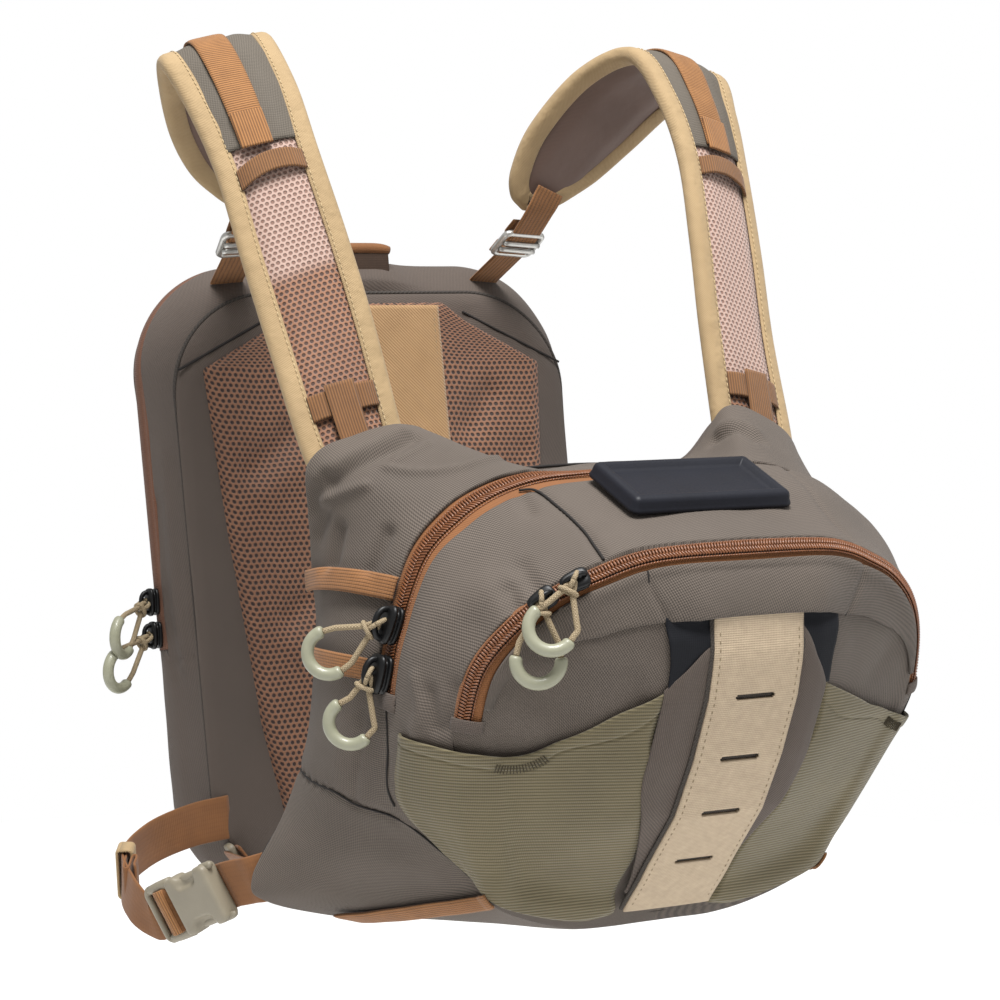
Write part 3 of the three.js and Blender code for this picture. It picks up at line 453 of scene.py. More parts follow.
def piece(name, points, faces, material, layout=None, nodes=(), weld=False):
    """A mesh piece from points in pattern millimetres, faces as rows of indices, and its layout in metres.

    nodes names the solids that it replaces, or is True for the one of its own name.
    """
    mesh = bpy.data.meshes.new(name)
    mesh.from_pydata(metres(points).tolist(), [], [list(face) for face in faces])
    loops = np.empty(len(mesh.loops), int)
    mesh.loops.foreach_get("vertex_index", loops)
    layout = np.zeros((len(points), 2)) if layout is None else np.asarray(layout, float)
    layer = mesh.uv_layers.new(name="UVMap")
    layer.uv.foreach_set("vector", layout[loops].ravel())
    mesh.polygons.foreach_set("use_smooth", np.ones(len(mesh.polygons), bool))
    if weld:
        shape = bmesh.new()
        shape.from_mesh(mesh)
        bmesh.ops.remove_doubles(shape, verts=shape.verts, dist=2e-5)
        shape.to_mesh(mesh)
        shape.free()
    mesh.materials.append(material)
    made = bpy.data.objects.new(name, mesh)
    scene.collection.objects.link(made)
    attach(made, "root")
    nodes = [name] if nodes is True else nodes
    if nodes:
        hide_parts(*nodes)
    return made


def grid_faces(rows, columns):
    """Quads of a grid of points, numbered row by row."""
    i, j = np.mgrid[0:rows - 1, 0:columns - 1]
    corner = i * columns + j
    return np.stack([corner, corner + 1, corner + columns + 1, corner + columns], -1)


def ring_faces(rings, count):
    """Faces of stacked anticlockwise rings, each closed by its first point again, with a cap on both ends."""
    cap = np.arange(count)
    quads = grid_faces(rings, count + 1).reshape(-1, 4).tolist()
    return quads + [cap[::-1].tolist(), (cap + (rings - 1) * (count + 1)).tolist()]


def grid_layout(points):
    """A grid's layout in metres: length along each row from its middle, and down each column from its top."""
    rows, columns = points.shape[:2]
    across = np.cumsum(np.linalg.norm(np.diff(points, axis=1), axis=-1), 1)
    along = np.cumsum(np.linalg.norm(np.diff(points, axis=0), axis=-1), 0)
    x = np.concatenate([np.zeros((rows, 1)), across], 1)
    y = np.concatenate([np.zeros((1, columns)), along], 0)
    return np.stack([x - x[:, columns // 2, None], y], -1).reshape(-1, 2) / 1000


def grid_piece(name, points, material, keep=None, flip=False, thick=0.0, layout=None, **options):
    """A piece from a grid of points; keep marks the quads that stay, and thick adds cloth on the inside."""
    faces = grid_faces(*points.shape[:2])
    faces = faces[keep] if keep is not None else faces.reshape(-1, 4)
    if flip:
        faces = faces[:, ::-1]
    layout = grid_layout(points) if layout is None else layout
    made = piece(name, points.reshape(-1, 3), faces.tolist(), material, layout, **options)
    if thick:
        body = made.modifiers.new("cloth", "SOLIDIFY")
        body.thickness = thick / 1000
        body.offset = -1
    return made


def frames(path, across):
    """Tangent, across and up directions along a path, across made square to it."""
    along = unit(np.gradient(path, axis=0))
    across = np.broadcast_to(np.asarray(across, float), path.shape)
    across = unit(across - along * np.sum(across * along, -1, keepdims=True))
    return along, across, np.cross(along, across)


def sweep(name, path, across, section, material, **options):
    """A closed section of (across, up) pairs, anticlockwise, carried along a path and capped at both ends.

    A section given for each point of the path may change along it.
    """
    _, a, b = frames(path, across)
    section = np.broadcast_to(section, (len(path),) + np.shape(section)[-2:])
    rings = path[:, None] + a[:, None] * section[..., :1] + b[:, None] * section[..., 1:]
    closed = np.concatenate([rings, rings[:, :1]], 1)
    faces = ring_faces(*section.shape[:2])
    x, y = np.meshgrid(run_along(np.concatenate([section[0], section[0][:1]])), run_along(path))
    layout = np.stack([x, y], -1).reshape(-1, 2) / 1000
    return piece(name, closed.reshape(-1, 3), faces, material, layout, weld=True, **options)


def disc(radius, sides):
    """A circle's points, anticlockwise."""
    turn = np.linspace(0, 2 * math.pi, sides, endpoint=False)
    return np.stack([np.cos(turn), np.sin(turn)], -1) * radius


def tube(name, path, radius, material, across, sides=10, **options):
    """A round tube; a radius for each point may swell or taper it."""
    size = np.broadcast_to(np.asarray(radius, float), len(path))
    return sweep(name, path, across, disc(1.0, sides)[None] * size[:, None, None], material, **options)


def joined(copies, faces):
    """Many copies of one small shape as a single mesh: points (n, m, 3) and the shape's faces."""
    count, size = copies.shape[:2]
    every = np.arange(count)[:, None, None] * size + np.asarray(faces)
    return copies.reshape(-1, 3), every.reshape(-1, np.shape(faces)[1]).tolist()


def cord_finish(start):
    x, y = laid_out(start)
    braid = (x * 2.0 + y).sine(0.0016) * (x * 2.0 - y).sine(0.0016)
    colour = tint(start, paint("7d6c51"), paint("c0ae90"), braid.step(0.05, 0.5))
    return colour, 0.85, braid * 0.00025


def grip_finish(start):
    tone = grain(start, 0.006)
    colour = tint(start, paint("84846f"), paint("979681"), tone)
    return colour, tone * 0.12 + 0.36, grain(start, 0.0008) * 0.00002


def slider_finish(start):
    wear_and_sheen = grain(start, 0.002, 3.0).step(0.62, 0.78)
    return tint(start, paint("060607"), paint("131315"), wear_and_sheen), wear_and_sheen * 0.2 + 0.42, None


CORD = surface("braided_cord", cord_finish, "pull_cord")
GRIP = surface("moulded_grip", grip_finish, "pull_grip", Coat_Weight=0.2)
SLIDER = surface("black_lacquer", slider_finish, "slider_metal", Specular_IOR_Level=0.35)

# Slider, its zip, its place along it on the left side, the way its pull hangs, the side that the pull shows,
# how far down the grip's middle lies, how far the grip is turned, and the slider's size.
SLIDERS = [
    ("main_upper", "main", 8.08, (-0.76, 0.42, -0.5), (-0.62, -0.78, 0.1), 29, 4, 1.1),
    ("main_lower", "main", 7.4, (-0.33, 0.18, -0.92), (-0.62, -0.78, 0.0), 26, 28, 1.1),
    ("pocket_upper", "pocket", 10.4, (-0.42, 0.1, -0.9), (-0.4, -0.85, 0.3), 26, 20, 0.8),
    ("pocket_lower", "pocket", 9.72, (-0.04, 0.03, -1.0), (-0.4, -0.88, 0.1), 29, 0, 0.8),
    ("backpack_upper", "backpack", 6.33, (-0.6, -0.45, -0.45), (-0.65, 0.75, 0.0), 31, 0, 0.9),
    ("backpack_lower", "backpack", 6.1, (-0.75, -0.3, -0.5), (-0.5, 0.85, 0.0), 31, 0, 0.9),
]
EYE_RISE = 7.0
CORD_RADIUS = 1.5
ZIP_RINGS = {"main": 3.45, "pocket": 6.32}
# The cord's waist at the slider's eye as (across, down); the grip is an arc of 100 degrees to each side.
CORD_WAIST = [(-2.4, 7.5), (-1.4, 3), (0, 0.6), (1.4, 3), (2.4, 7.5)]
GRIP_ROUND = 10.6
GRIP_SPAN = math.radians(100)
GRIP_POINTS = 49
CORD_STRAIGHT = 6.0
CORD_POINTS = 19
# Slider body as (height, half length, half width) levels from the bottom plate to the top plate.
SLIDER_LEVELS = [
    (-1.2, 7.6, 4.9), (-0.9, 8.6, 5.7), (0.6, 8.6, 5.7), (0.9, 7.9, 5.1), (1.2, 6.8, 4.3), (2.2, 6.8, 4.3),
    (2.5, 7.9, 5.1), (2.9, 8.9, 6.0), (4.0, 9.0, 6.1), (4.8, 8.4, 5.5), (5.3, 7.0, 4.2), (5.45, 4.0, 2.2),
]
SLIDER_SIDES = 28
# The slider's bail as (along, up).
BAIL = np.array([(-6.8, 4.4), (-6.0, 7.2), (-3.4, 9.0), (0, 9.5), (3.4, 9.0), (6.0, 7.2), (6.8, 4.4)])


def slider_seat(zip_name, place):
    """Point on the coil, direction along it and direction out of it."""
    if zip_name == "backpack":
        w = np.array(BACKPACK_AROUND - place)
        point, up = over_backpack(w, np.array(2.5), np.array(1.4)), backpack_up(w, np.array(2.5))
        along = backpack(w - 0.05, 2.5) - backpack(w + 0.05, 2.5)
    else:
        u, v = np.array(AROUND - place), np.array(ZIP_RINGS[zip_name])
        up = chest_up(u, v)
        point = over_chest(u, v, np.array(1.4))
        along = chest(u - 0.05, v) - chest(u + 0.05, v)
    return point, unit(along - up * (along @ up)), up


def evenly(points, count):
    """Points at even steps along a polyline."""
    run = run_along(points)
    return at_run(points, run, np.linspace(0, run[-1], count))


def pull_line(reach, twist):
    """Cord's line as (across, down) from the eye: out of one grip end, through the eye, into the other."""
    ends = np.array([-GRIP_SPAN, GRIP_SPAN]) + twist
    tips = np.stack([GRIP_ROUND * np.sin(ends), reach + GRIP_ROUND * np.cos(ends)], -1)
    out = tips + CORD_STRAIGHT * np.stack([np.cos(ends), -np.sin(ends)], -1) * [[-1], [1]]
    return evenly(np.concatenate([tips[:1], out[:1], CORD_WAIST, out[1:], tips[1:]]), CORD_POINTS)


for name, zip_name, place, hang, face, reach, twist, size in SLIDERS:
    seat, along, up = slider_seat(zip_name, place)
    across = np.cross(along, up)
    circle = disc(1.0, SLIDER_SIDES).T
    squarish = np.abs(circle) ** 0.6 * np.sign(circle)
    levels = np.array(SLIDER_LEVELS) * size
    y = squarish[0][None] * levels[:, 1:2]
    x = squarish[1][None] * levels[:, 2:3] * (1 + 0.022 * y)
    body = seat + x[..., None] * across + y[..., None] * along + levels[:, :1, None] * up
    body = np.concatenate([body, body[:, :1]], 1)
    # Its rings run clockwise.
    faces = [face[::-1] for face in ring_faces(len(levels), SLIDER_SIDES)]
    piece(f"{name}_slider", body.reshape(-1, 3), faces, SLIDER, nodes=True, weld=True)
    arch = size * BAIL
    bail = smooth_line(seat + arch[:, :1] * along + arch[:, 1:] * up, 25)
    tube(f"{name}_bail", bail, 1.5 * size, SLIDER, across)

    off = unit(np.array(face))
    down = unit(np.array(hang) - off * (np.array(hang) @ off))
    wide = np.cross(down, off)
    eye = seat + up * EYE_RISE * size
    table = pull_line(reach, math.radians(twist))
    route = smooth_line(eye + table[:, :1] * wide + table[:, 1:] * down, 65)
    cord = tube(f"{name}_cord", route, CORD_RADIUS, CORD, off, 10, nodes=[f"{name}_pull"])
    turn = np.linspace(-GRIP_SPAN, GRIP_SPAN, GRIP_POINTS)[:, None] + math.radians(twist)
    bow = eye + GRIP_ROUND * np.sin(turn) * wide + (reach + GRIP_ROUND * np.cos(turn)) * down
    swell = np.full(GRIP_POINTS, 3.15)
    swell[[0, -1]] = 2.3
    swell[[1, -2]] = 2.95
    grip = tube(f"{name}_grip", bow, swell, GRIP, off, 16, nodes=[f"{name}_pull"])
    spin = np.linspace(0, 2 * math.pi, 25)[:, None]
    bight = eye + down * 7.0 + np.cos(spin) * wide * 4.2 + np.sin(spin) * off * 2.7
    round_bail = eye + down * 1.6 + np.cos(spin) * off * 3.4 + np.sin(spin) * down * 4.4
    wraps = [
        tube(f"{name}_bight", bight, 1.2, CORD, down, 8),
        tube(f"{name}_hitch", round_bail, 1.2, CORD, wide, 8),
    ]
    length = np.linalg.norm(np.diff(route, axis=0), axis=-1).sum() / 1000


# Main zip and front pocket zip of the chest pack: copper woven tape sewn behind the two cloth edges,
# a dark coil of two interlocking rows down its middle, and a line of stitching on each side of the coil.
def tape_finish(dark, pale, core):
    """Herringbone tape with a darker band down its middle, under the coil."""
    def build(start):
        x, y = laid_out(start)
        weave = (y + x * 0.3).sine(0.0011) * 0.7 + x.sine(0.0009) * 0.3
        middle = x.math("ABSOLUTE", x).step(0.0036, 0.0042)
        cloth_colour = tint(start, paint(dark), paint(pale), weave * 0.6 + grain(start, 0.012) * 0.4)
        return tint(start, paint(core), cloth_colour, middle), 0.8, weave * 0.00015
    return build


TAPE = surface("copper_tape", tape_finish("653c1c", "8a5729", "3a2112"), "zip_tape", Sheen_Weight=0.1)
# The backpack zip's tape: brown, and darker than the copper tape partly as painted shade, for the zip in
# shade.
BROWN_TAPE_PAINTED_SHADE = surface("brown_tape_painted_shade", tape_finish("4f2f1e", "6d452d", "583623"), "zip_tape", Sheen_Weight=0.1)
COIL = surface("copper_coil", mottled("4f2c17", "8a5530", 0.003, 0.42, 3.0), "zip_tape", Coat_Weight=0.1)
TOOTH_PITCH = 1.6
# One tooth and one stitch: rings along it as (place, thickness).
TOOTH_RINGS = np.array([(-2.5, 0.25), (-2.0, 0.6), (1.8, 0.64), (2.4, 0.3)])
SEWN_RINGS = np.array([(-0.85, 0.2), (-0.5, 0.5), (0.5, 0.5), (0.85, 0.2)])
# Rows of the tape's grid up to the coil and past it, and the row under the coil.
TAPE_ROWS = (10, 12)
CORE = TAPE_ROWS[0] - 1


def resample(path, pitch, *others):
    """A path and values along it at equal steps of its length."""
    run = run_along(path)
    return [at_run(values, run, np.arange(pitch / 2, run[-1], pitch)) for values in (path, *others)]


def little_bars(places, along, across, up, rings, sides=6):
    """Copies of a short tapered bar at places, pointing along, for teeth and stitches."""
    turn = np.linspace(0, 2 * math.pi, sides, endpoint=False)
    place = np.repeat(rings[:, 0], sides)
    x = (rings[:, 1:2] * np.cos(turn)).ravel()
    z = (rings[:, 1:2] * np.sin(turn)).ravel()
    copies = (places[:, None] + along[:, None] * place[None, :, None] + across[:, None] * x[None, :, None]
              + up[:, None] * z[None, :, None])
    ring, side = np.mgrid[0:len(rings) - 1, 0:sides]
    after = (side + 1) % sides
    first, second = ring * sides, (ring + 1) * sides
    quads = np.stack([first + side, first + after, second + after, second + side], -1)
    return joined(copies, quads.reshape(-1, 4))


def zip_pieces(name, over, place, rows, depth=0.0, size=1.0, ridge=0.6, finish=TAPE, teeth=True, flip=False):
    """A zip along places on a sewn skin: tape from ring rows[0] to rows[2] with the coil over rows[1].

    The tape follows the skin under the cloth and dives at both edges; depth sinks the whole zip further.
    """
    low, core, high = rows
    ring = np.r_[np.linspace(low, core, TAPE_ROWS[0]), np.linspace(core, high, TAPE_ROWS[1])[1:]]
    at, v = np.meshgrid(place, ring)
    flat = over(at, v, 0 * at)
    off = np.concatenate([0 * flat[:1, :, 0], np.cumsum(np.linalg.norm(np.diff(flat, axis=0), axis=-1), 0)])
    off = off - off[CORE]
    edge_dive = ease(-v, -low - 0.1, -low) + ease(v, high - 0.1, high)
    rise = ridge * (1 - np.minimum(1, np.abs(off) / 5.0) ** 2) - 1.1 - 1.5 * edge_dive - depth
    layout = np.stack([off, np.broadcast_to(run_along(flat[CORE]), off.shape)], -1).reshape(-1, 2) / 1000
    tape = over(at, v, rise)
    grid_piece(f"{name}_tape", tape, finish, layout=layout, flip=flip, nodes=[name])
    if not teeth:
        return
    out = over(place, np.full_like(place, core), np.ones_like(place)) - flat[CORE]
    spots, cross, out = resample(tape[CORE], TOOTH_PITCH, unit(flat[CORE + 1] - flat[CORE - 1]), out)
    cross, out = unit(cross), unit(out)
    forward = np.cross(out, cross)
    rows = []
    for sign in (-1, 1):
        lean_over = unit(cross + forward * 0.25 * sign)
        base = spots + cross * (2.3 * size * sign) + out * 0.55 + forward * (TOOTH_PITCH * 0.25 * sign)
        rows.append(little_bars(base, lean_over, np.cross(out, lean_over), out, TOOTH_RINGS * (size, 1)))
        sewn = spots + cross * (5.6 * size * sign) - out * 0.25
        rows.append(little_bars(sewn, forward, cross, out, SEWN_RINGS))
    starts = np.cumsum([0] + [len(row[0]) for row in rows])
    points = np.concatenate([row[0] for row in rows])
    faces = [[k + first for k in face] for row, first in zip(rows, starts) for face in row[1]]
    piece(f"{name}_coil", points, faces, COIL)


# Rings of the cloth's edges beside each zip. On the right the main zip lies deeper, behind the dome's cloth.
ZIP_EDGES = {"main": (2.93, 4.12), "pocket": (6.0, 6.96)}
ZIP_SUNK = 3.2


def sunk_right(u):
    """1 along the right part of the main zip that lies deeper, 0 elsewhere."""
    return ease(u, 8.2, 9.6) * ease(-u, -13.7, -13.0)


zip_u = np.linspace(ZIP_FROM - 0.02, AROUND - ZIP_FROM + 0.02, 420)
for key, name, depth, size in (("main", "main_zip", ZIP_SUNK * sunk_right(zip_u), 1.0),
                               ("pocket", "front_pocket_zip", 0.0, 0.68)):
    low, high = ZIP_EDGES[key]
    zip_pieces(name, over_chest, zip_u, (low - 0.06, ZIP_RINGS[key], high + 0.05), depth, size)


# Chest shell: taupe nylon twill cut as a side band with two hoods over the straps' ends, and a domed top
# panel between the zips. The seams are turned, pressed flat and topstitched; the cloth is slack between them.
def nylon_finish(dark, pale, pitch):
    """Twill: slanting ribs broken by the finer threads that cross them, mottled in soft clouds."""
    def build(start):
        x, y = laid_out(start)
        rib = (x + y * 0.42).sine(pitch)
        thread = (x * 0.3 - y).sine(pitch * 1.15)
        weave = (rib * 0.6 + thread * 0.4).step(0.1, 0.9)
        cloud = grain(start, 0.04, 3.0)
        plain = grain(start, 0.06).step(0.3, 0.7) * 0.45 + 0.35
        shade = (weave - 0.5) * plain + cloud * 0.25 + 0.375
        colour = tint(start, paint(dark), paint(pale), shade)
        height = weave * 0.0002 + grain(start, 0.02, 3.0) * 0.0008
        return colour, 0.8, height
    return build


NYLON = surface("nylon_twill", nylon_finish("2c2721", "70645a", 0.00125), "shell_nylon", Sheen_Weight=0.05)
NYLON_FINE = surface("nylon_fine", nylon_finish("3f3731", "5e5148", 0.001), "shell_nylon", Sheen_Weight=0.05)
# Painted shadow: dark lines laid down the seams' valleys and along the panels' seams.
SEAM = surface("seam_shadow", mottled("171412", "241f1c", 0.004, 0.9), "shell_nylon")
SEAM_DEPTH = 1.3
NOISE_CELLS = 16


def noise(points, size, seed):
    """Smooth value noise between -1 and 1, with features of the given size in millimetres."""
    table = np.random.default_rng(seed).uniform(-1, 1, (NOISE_CELLS,) * 3)
    spot = points / size + 100
    cell = np.floor(spot).astype(int)
    t = spot - cell
    t = t * t * (3 - 2 * t)
    total = 0
    for corner in itertools.product((0, 1), repeat=3):
        k = (cell + corner) % NOISE_CELLS
        total = total + np.prod(np.where(corner, t, 1 - t), -1) * table[k[..., 0], k[..., 1], k[..., 2]]
    return total


def bells(points, lines):
    """Heights of soft folds: a bell across each line (points, width, height), fading round its ends."""
    total = np.zeros(points.shape[:-1])
    for path, width, height in lines:
        path = smooth_line(np.array(path, float), 40)
        off = np.min(np.linalg.norm(points[..., None, :] - path, axis=-1), -1)
        total += height * np.exp(-(off / width) ** 2)
    return total


def both_sides(line_uv):
    """A line of (station, ring) on the right side, and its mirror image on the left."""
    right = np.array(line_uv, float)
    return [right, np.stack([AROUND - right[:, 0], right[:, 1]], -1)]


# Seams of the right side as (station, ring).
LOW_SEAM = [(5.67, 0.05), (5.32, 1.7), (4.95, 2.38), (4.62, 2.94), (4.2, 3.22), (3.5, 3.38), (2.9, 3.5),
            (2.4, 4.2), (2.2, 5.6)]
ZIP_SEAM = [(7.0, 3.55), (6.4, 3.62), (5.6, 3.45), (4.8, 3.2)]
SIDE_CREASE = [(6.7, 2.62), (5.7, 2.48), (5.0, 2.32)]
DOME_SEAM = [(11.4, 3.98), (11.68, 4.14), (11.7, 4.6), (11.62, 5.22), (11.42, 5.64), (11.28, 5.97)]
SEAM_LINES = [half for table in (LOW_SEAM, ZIP_SEAM, DOME_SEAM) for half in both_sides(table)]
# Folds of the slack cloth, in pattern millimetres: the points of a line, its width and its height.
CHEST_FOLDS = [
    ([(146, 14, 216), (145, 8, 196)], 7, -1.8),
    ([(-145, -76, 146), (-144, -79, 132), (-144, -74, 121)], 4, 1.8),
    ([(-141, -84, 140), (-139, -86, 124)], 4, -2.4),
    ([(-127, -100, 172), (-131, -92, 150)], 11, -2.2),
    ([(-118, -95, 190), (-126, -84, 176)], 9, 1.6),
    ([(-134, -96, 142), (-135, -92, 124)], 5, -2.6),
    ([(-152, -20, 116), (-152, -12, 96)], 8, 1.2),
    ([(-168, 20, 50), (-140, -20, 50), (-120, -40, 44)], 9, 1.0),
    ([(-150, 0, 30), (-128, -30, 26)], 8, -1.2),
    ([(127, -100, 172), (131, -92, 150)], 11, -2.0),
]
# Folds that the straps pull into the hoods and the zips into the dome, as (station, ring).
HOOD_FOLDS = [
    ([(18.2, 0.74), (18.02, 0.88), (17.54, 1.0), (16.84, 0.96), (16.48, 0.76)], 4.5, -2.6),
    ([(18.18, 0.32), (17.82, 0.55), (17.14, 0.58), (16.48, 0.36)], 5.0, 1.6),
    ([(18.46, 0.48), (18.3, 0.92), (18.04, 1.38)], 2.8, 1.9),
    ([(17.52, 1.42), (17.4, 1.78), (17.12, 2.1), (16.72, 2.26), (15.94, 2.2)], 2.6, 1.6),
    ([(17.24, 1.34), (16.5, 1.16)], 2.8, 1.2),
    ([(18.12, 0.5), (18.38, 0.36), (18.58, 0.24)], 4.0, -2.2),
    ([(18.78, 1.14), (19.28, 1.12)], 4.0, -2.6),
    ([(18.74, 2.3), (19.1, 2.3), (19.3, 2.26)], 4.0, -2.6),
    ([(18.62, 0.64), (18.86, 0.4)], 4.0, -2.0),
    ([(16.72, 4.22), (16.9, 4.54)], 4.0, -1.4),
    ([(18.02, 5.36), (18.18, 5.86)], 5.0, -1.8),
    ([(18.5, 5.6), (18.66, 5.92)], 5.0, -2.0),
    ([(12.5, 0.8), (12.26, 1.14), (11.94, 1.38), (11.68, 1.76)], 4.4, -2.4),
    ([(12.3, 0.72), (12.0, 0.98), (11.66, 1.34)], 5.0, 1.4),
]
CHEST_FOLDS += [(chest(*np.array(path).T), width, 1.35 * height) for path, width, height in HOOD_FOLDS]


def slack(points):
    """How far the cloth stands off its pattern: gentle waves and the folds."""
    return 0.9 * noise(points, 42, 3) + 0.35 * noise(points, 15, 4) + bells(points, CHEST_FOLDS)


def seams_at(points, lines, width, depth):
    """The valley that a seam pulls into the cloth."""
    return bells(points, [(chest(*np.array(smooth_line(uv, 30)).T), width, -depth) for uv in lines])


def in_arch(u, first=ZIP_FROM, around=AROUND):
    """1 along a zip's arch, from place first over the top to its mirror place, and 0 past its ends."""
    return ease(u, first - 0.08, first) * ease(-u, first - around - 0.08, first - around)


def arch_quads(u, first=ZIP_FROM, around=AROUND):
    """Which of the quads between places u lie in a zip's arch."""
    return (u[:-1] >= first - 0.01) & (u[1:] <= around - first + 0.01)


low, high = ZIP_EDGES["main"]
shell_v = np.r_[
    0.35, 0.18, 0.06, 0, 0, 0.04, np.linspace(0.1, low - 0.05, 42), low, low, 3.25, 3.5, 3.75, high, high,
    np.linspace(high + 0.05, 5.94, 44), 6, 6, 6.03,
]
rim_lip = np.r_[-2.6, -2.6, -2.5, -1.8, -0.6, 0, np.zeros(len(shell_v) - 6)]
zip_lip = np.r_[np.zeros(48), -0.2, -1.9, 0, 0, 0, -1.9, -0.2, np.zeros(44), -0.2, -1.9, -1.9]
shell_u = np.linspace(0, AROUND, 21 * AROUND + 1)
u, v = np.meshgrid(shell_u, shell_v)
skin = chest(u, v)
lip_depth = in_arch(u) * (1 + 1.7 * sunk_right(u) * (v < 5))
heights = slack(skin) + seams_at(skin, SEAM_LINES, 2.6, SEAM_DEPTH)
heights = heights + rim_lip[:, None] + zip_lip[:, None] * lip_depth
heights += seams_at(skin, both_sides(SIDE_CREASE), 2.2, 0.9)
# On the right the dome's cloth stands up over the zip.
heights += 6.5 * sunk_right(u) * ease(v, high - 0.25, high + 0.02) * ease(-v, -5.7, -4.5)
shell = skin + chest_up(u, v) * heights[..., None]
row = np.arange(len(shell_v) - 1)
slot_rows = (row >= 49) & (row < 53)
grid_piece("chest_shell", shell, NYLON, keep=~(slot_rows[:, None] & arch_quads(shell_u)), weld=True,
           layout=grid_layout(skin), nodes=True)


def seam_shadow_line(name, lines, radius=0.55, sink=0.75):
    """A painted shadow: a dark line down the bottom of a seam's valley."""
    for k, uv in enumerate(lines):
        u, v = smooth_line(uv, 60).T
        path = over_chest(u, v, slack(chest(u, v)) - SEAM_DEPTH + sink)
        tube(f"{name}_{k + 1}", path, radius, SEAM, (0.3, 0.5, 0.8), 6)


seam_shadow_line("chest_seam", [half for table in (LOW_SEAM, ZIP_SEAM) for half in both_sides(table)])
seam_shadow_line("dome_seam", both_sides(DOME_SEAM)[1:], 0.7, 0.85)

# Back panel of the chest pack: a padded panel against the wearer's chest, sewn in round its edge.
ring_k = np.r_[1.0, 0.985, 0.96, 0.92, 0.86, np.linspace(0.78, 0, 15)]
rim = np.concatenate([STATIONS[:, :2], STATIONS[-2::-1, :2] * (-1, 1)])
rim = np.stack([0.985 * rim[:, 0], 0 * rim[:, 0], np.minimum(rim[:, 1], 236)], -1)
rim_u = np.linspace(0, AROUND, 225)
edge = line(rim, rim_u)
x = ring_k[:, None] * edge[None, :, 0]
z = CHEST_CENTRE_Z + ring_k[:, None] * (edge[None, :, 2] - CHEST_CENTRE_Z)
crown = np.sqrt(np.clip((1 - ring_k) / 0.16, 0, 1))[:, None]


def panel_face(depth):
    """The panel's rings at a depth behind the back panel's seam."""
    return np.stack([x, back_y(x, z) + 0.6 + depth, z], -1)


quilt = 0.8 * noise(panel_face(0), 50, 8)
back_face = panel_face(1.2 + (4.2 + quilt) * crown)
front_face = panel_face(1.2 - 0.8 * crown)
both = np.concatenate([front_face[::-1], back_face])
layout = np.stack([both[..., 0], both[..., 2]], -1).reshape(-1, 2) / 1000
chest_back = grid_piece("chest_back_panel", both, NYLON_FINE, flip=True, weld=True, layout=layout,
                        nodes=True)
# The same cloth runs on from the panel's edge to the shell's rim and closes the hoods round the straps' ends.
sewn = back_face[0]
rim = over_chest(rim_u, 0 * rim_u, slack(chest(rim_u, 0 * rim_u)) - 1.2)
t = np.linspace(0, 1, 9)[:, None, None]
bulge = 0.6 * np.linalg.norm(rim - sewn, axis=-1)[:, None] * np.array([0, 1.0, 0])
grid_piece("chest_rim_band", sewn + (rim - sewn) * t + bulge * t * (1 - t), NYLON_FINE)
# A painted shadow line along the seam round the panel.
tube("chest_panel_seam", sewn, 0.8, SEAM, (0.2, 0.9, 0.3), 6)


# Front pocket: a full bowl of the same twill. A yoke crosses its top below the zip, and two pleated flaps
# beside the middle strip let it expand, with a dark gusset showing above them.
pocket_v = np.r_[6.03, 6.5, 6.96, 6.96, np.linspace(7.0, 11.94, 84)]
pocket_lip = np.r_[0, 0, -1.9, -0.2, np.zeros(84)]
pocket_u = np.linspace(0, AROUND, 14 * AROUND + 1)
u, v = np.meshgrid(pocket_u, pocket_v)
skin = chest(u, v)
POCKET_FOLDS = [
    ([(-105, -112, 150), (-95, -118, 140), (-88, -120, 130)], 8, -1.6),
    ([(-112, -106, 132), (-100, -112, 128)], 7, 1.4),
    ([(-80, -130, 158), (-62, -138, 150)], 8, 1.0),
    ([(-60, -136, 148), (-56, -136, 136)], 6, -1.5),
    ([(100, -116, 150), (90, -124, 138)], 8, -1.4),
]
heights = 0.8 * noise(skin, 40, 5) + 0.3 * noise(skin, 14, 6) + bells(skin, POCKET_FOLDS)
heights += pocket_lip[:, None] * in_arch(u)
bowl = skin + chest_up(u, v) * (heights * ease(-v, -11.6, -10.6))[..., None]
row = np.arange(len(pocket_v) - 1)
grid_piece("front_pocket", bowl, NYLON, keep=~((row < 2)[:, None] & arch_quads(pocket_u)), weld=True,
           layout=grid_layout(skin), nodes=True)

# Yoke: a folded band of twill over the top of the pocket; its lower edge is a turned hem.
YOKE_EDGE = [(7.4, 7.25), (7.95, 7.66), (8.65, 8.1), (9.3, 8.44), (10.92, 8.86), (12.5, 8.98), (14, 8.99),
             (15.5, 8.98), (16.55, 8.84), (18.25, 8.52), (19.35, 7.92), (20.0, 7.5), (20.6, 7.25)]
YOKE_TOP = 6.97
yoke_line = np.array(YOKE_EDGE)
yoke_u = np.linspace(yoke_line[0, 0], yoke_line[-1, 0], 300)
low_edge = np.interp(yoke_u, yoke_line[:, 0], yoke_line[:, 1])
fall = np.r_[-0.03, -0.02, 0, 0.012, np.linspace(0.03, 0.97, 26), 0.99, 1.0]
u = np.broadcast_to(yoke_u, (len(fall), len(yoke_u)))
v = YOKE_TOP + fall[:, None] * (low_edge - YOKE_TOP)[None]
skin = chest(u, v)
YOKE_SEAMS = [
    [(16.03, YOKE_TOP), (16.25, 7.9), (16.55, 8.84)],
    [(11.2, YOKE_TOP), (11.0, 7.9), (10.78, 8.84)],
]
heights = 0.8 * noise(skin, 40, 5) + 0.3 * noise(skin, 14, 6) + 1.5 + seams_at(skin, YOKE_SEAMS, 2.0, 1.0)
heights -= 0.6 * ease(fall, 0.985, 1.0)[:, None] + np.r_[3.0, 1.6, 0.3, np.zeros(len(fall) - 3)][:, None]
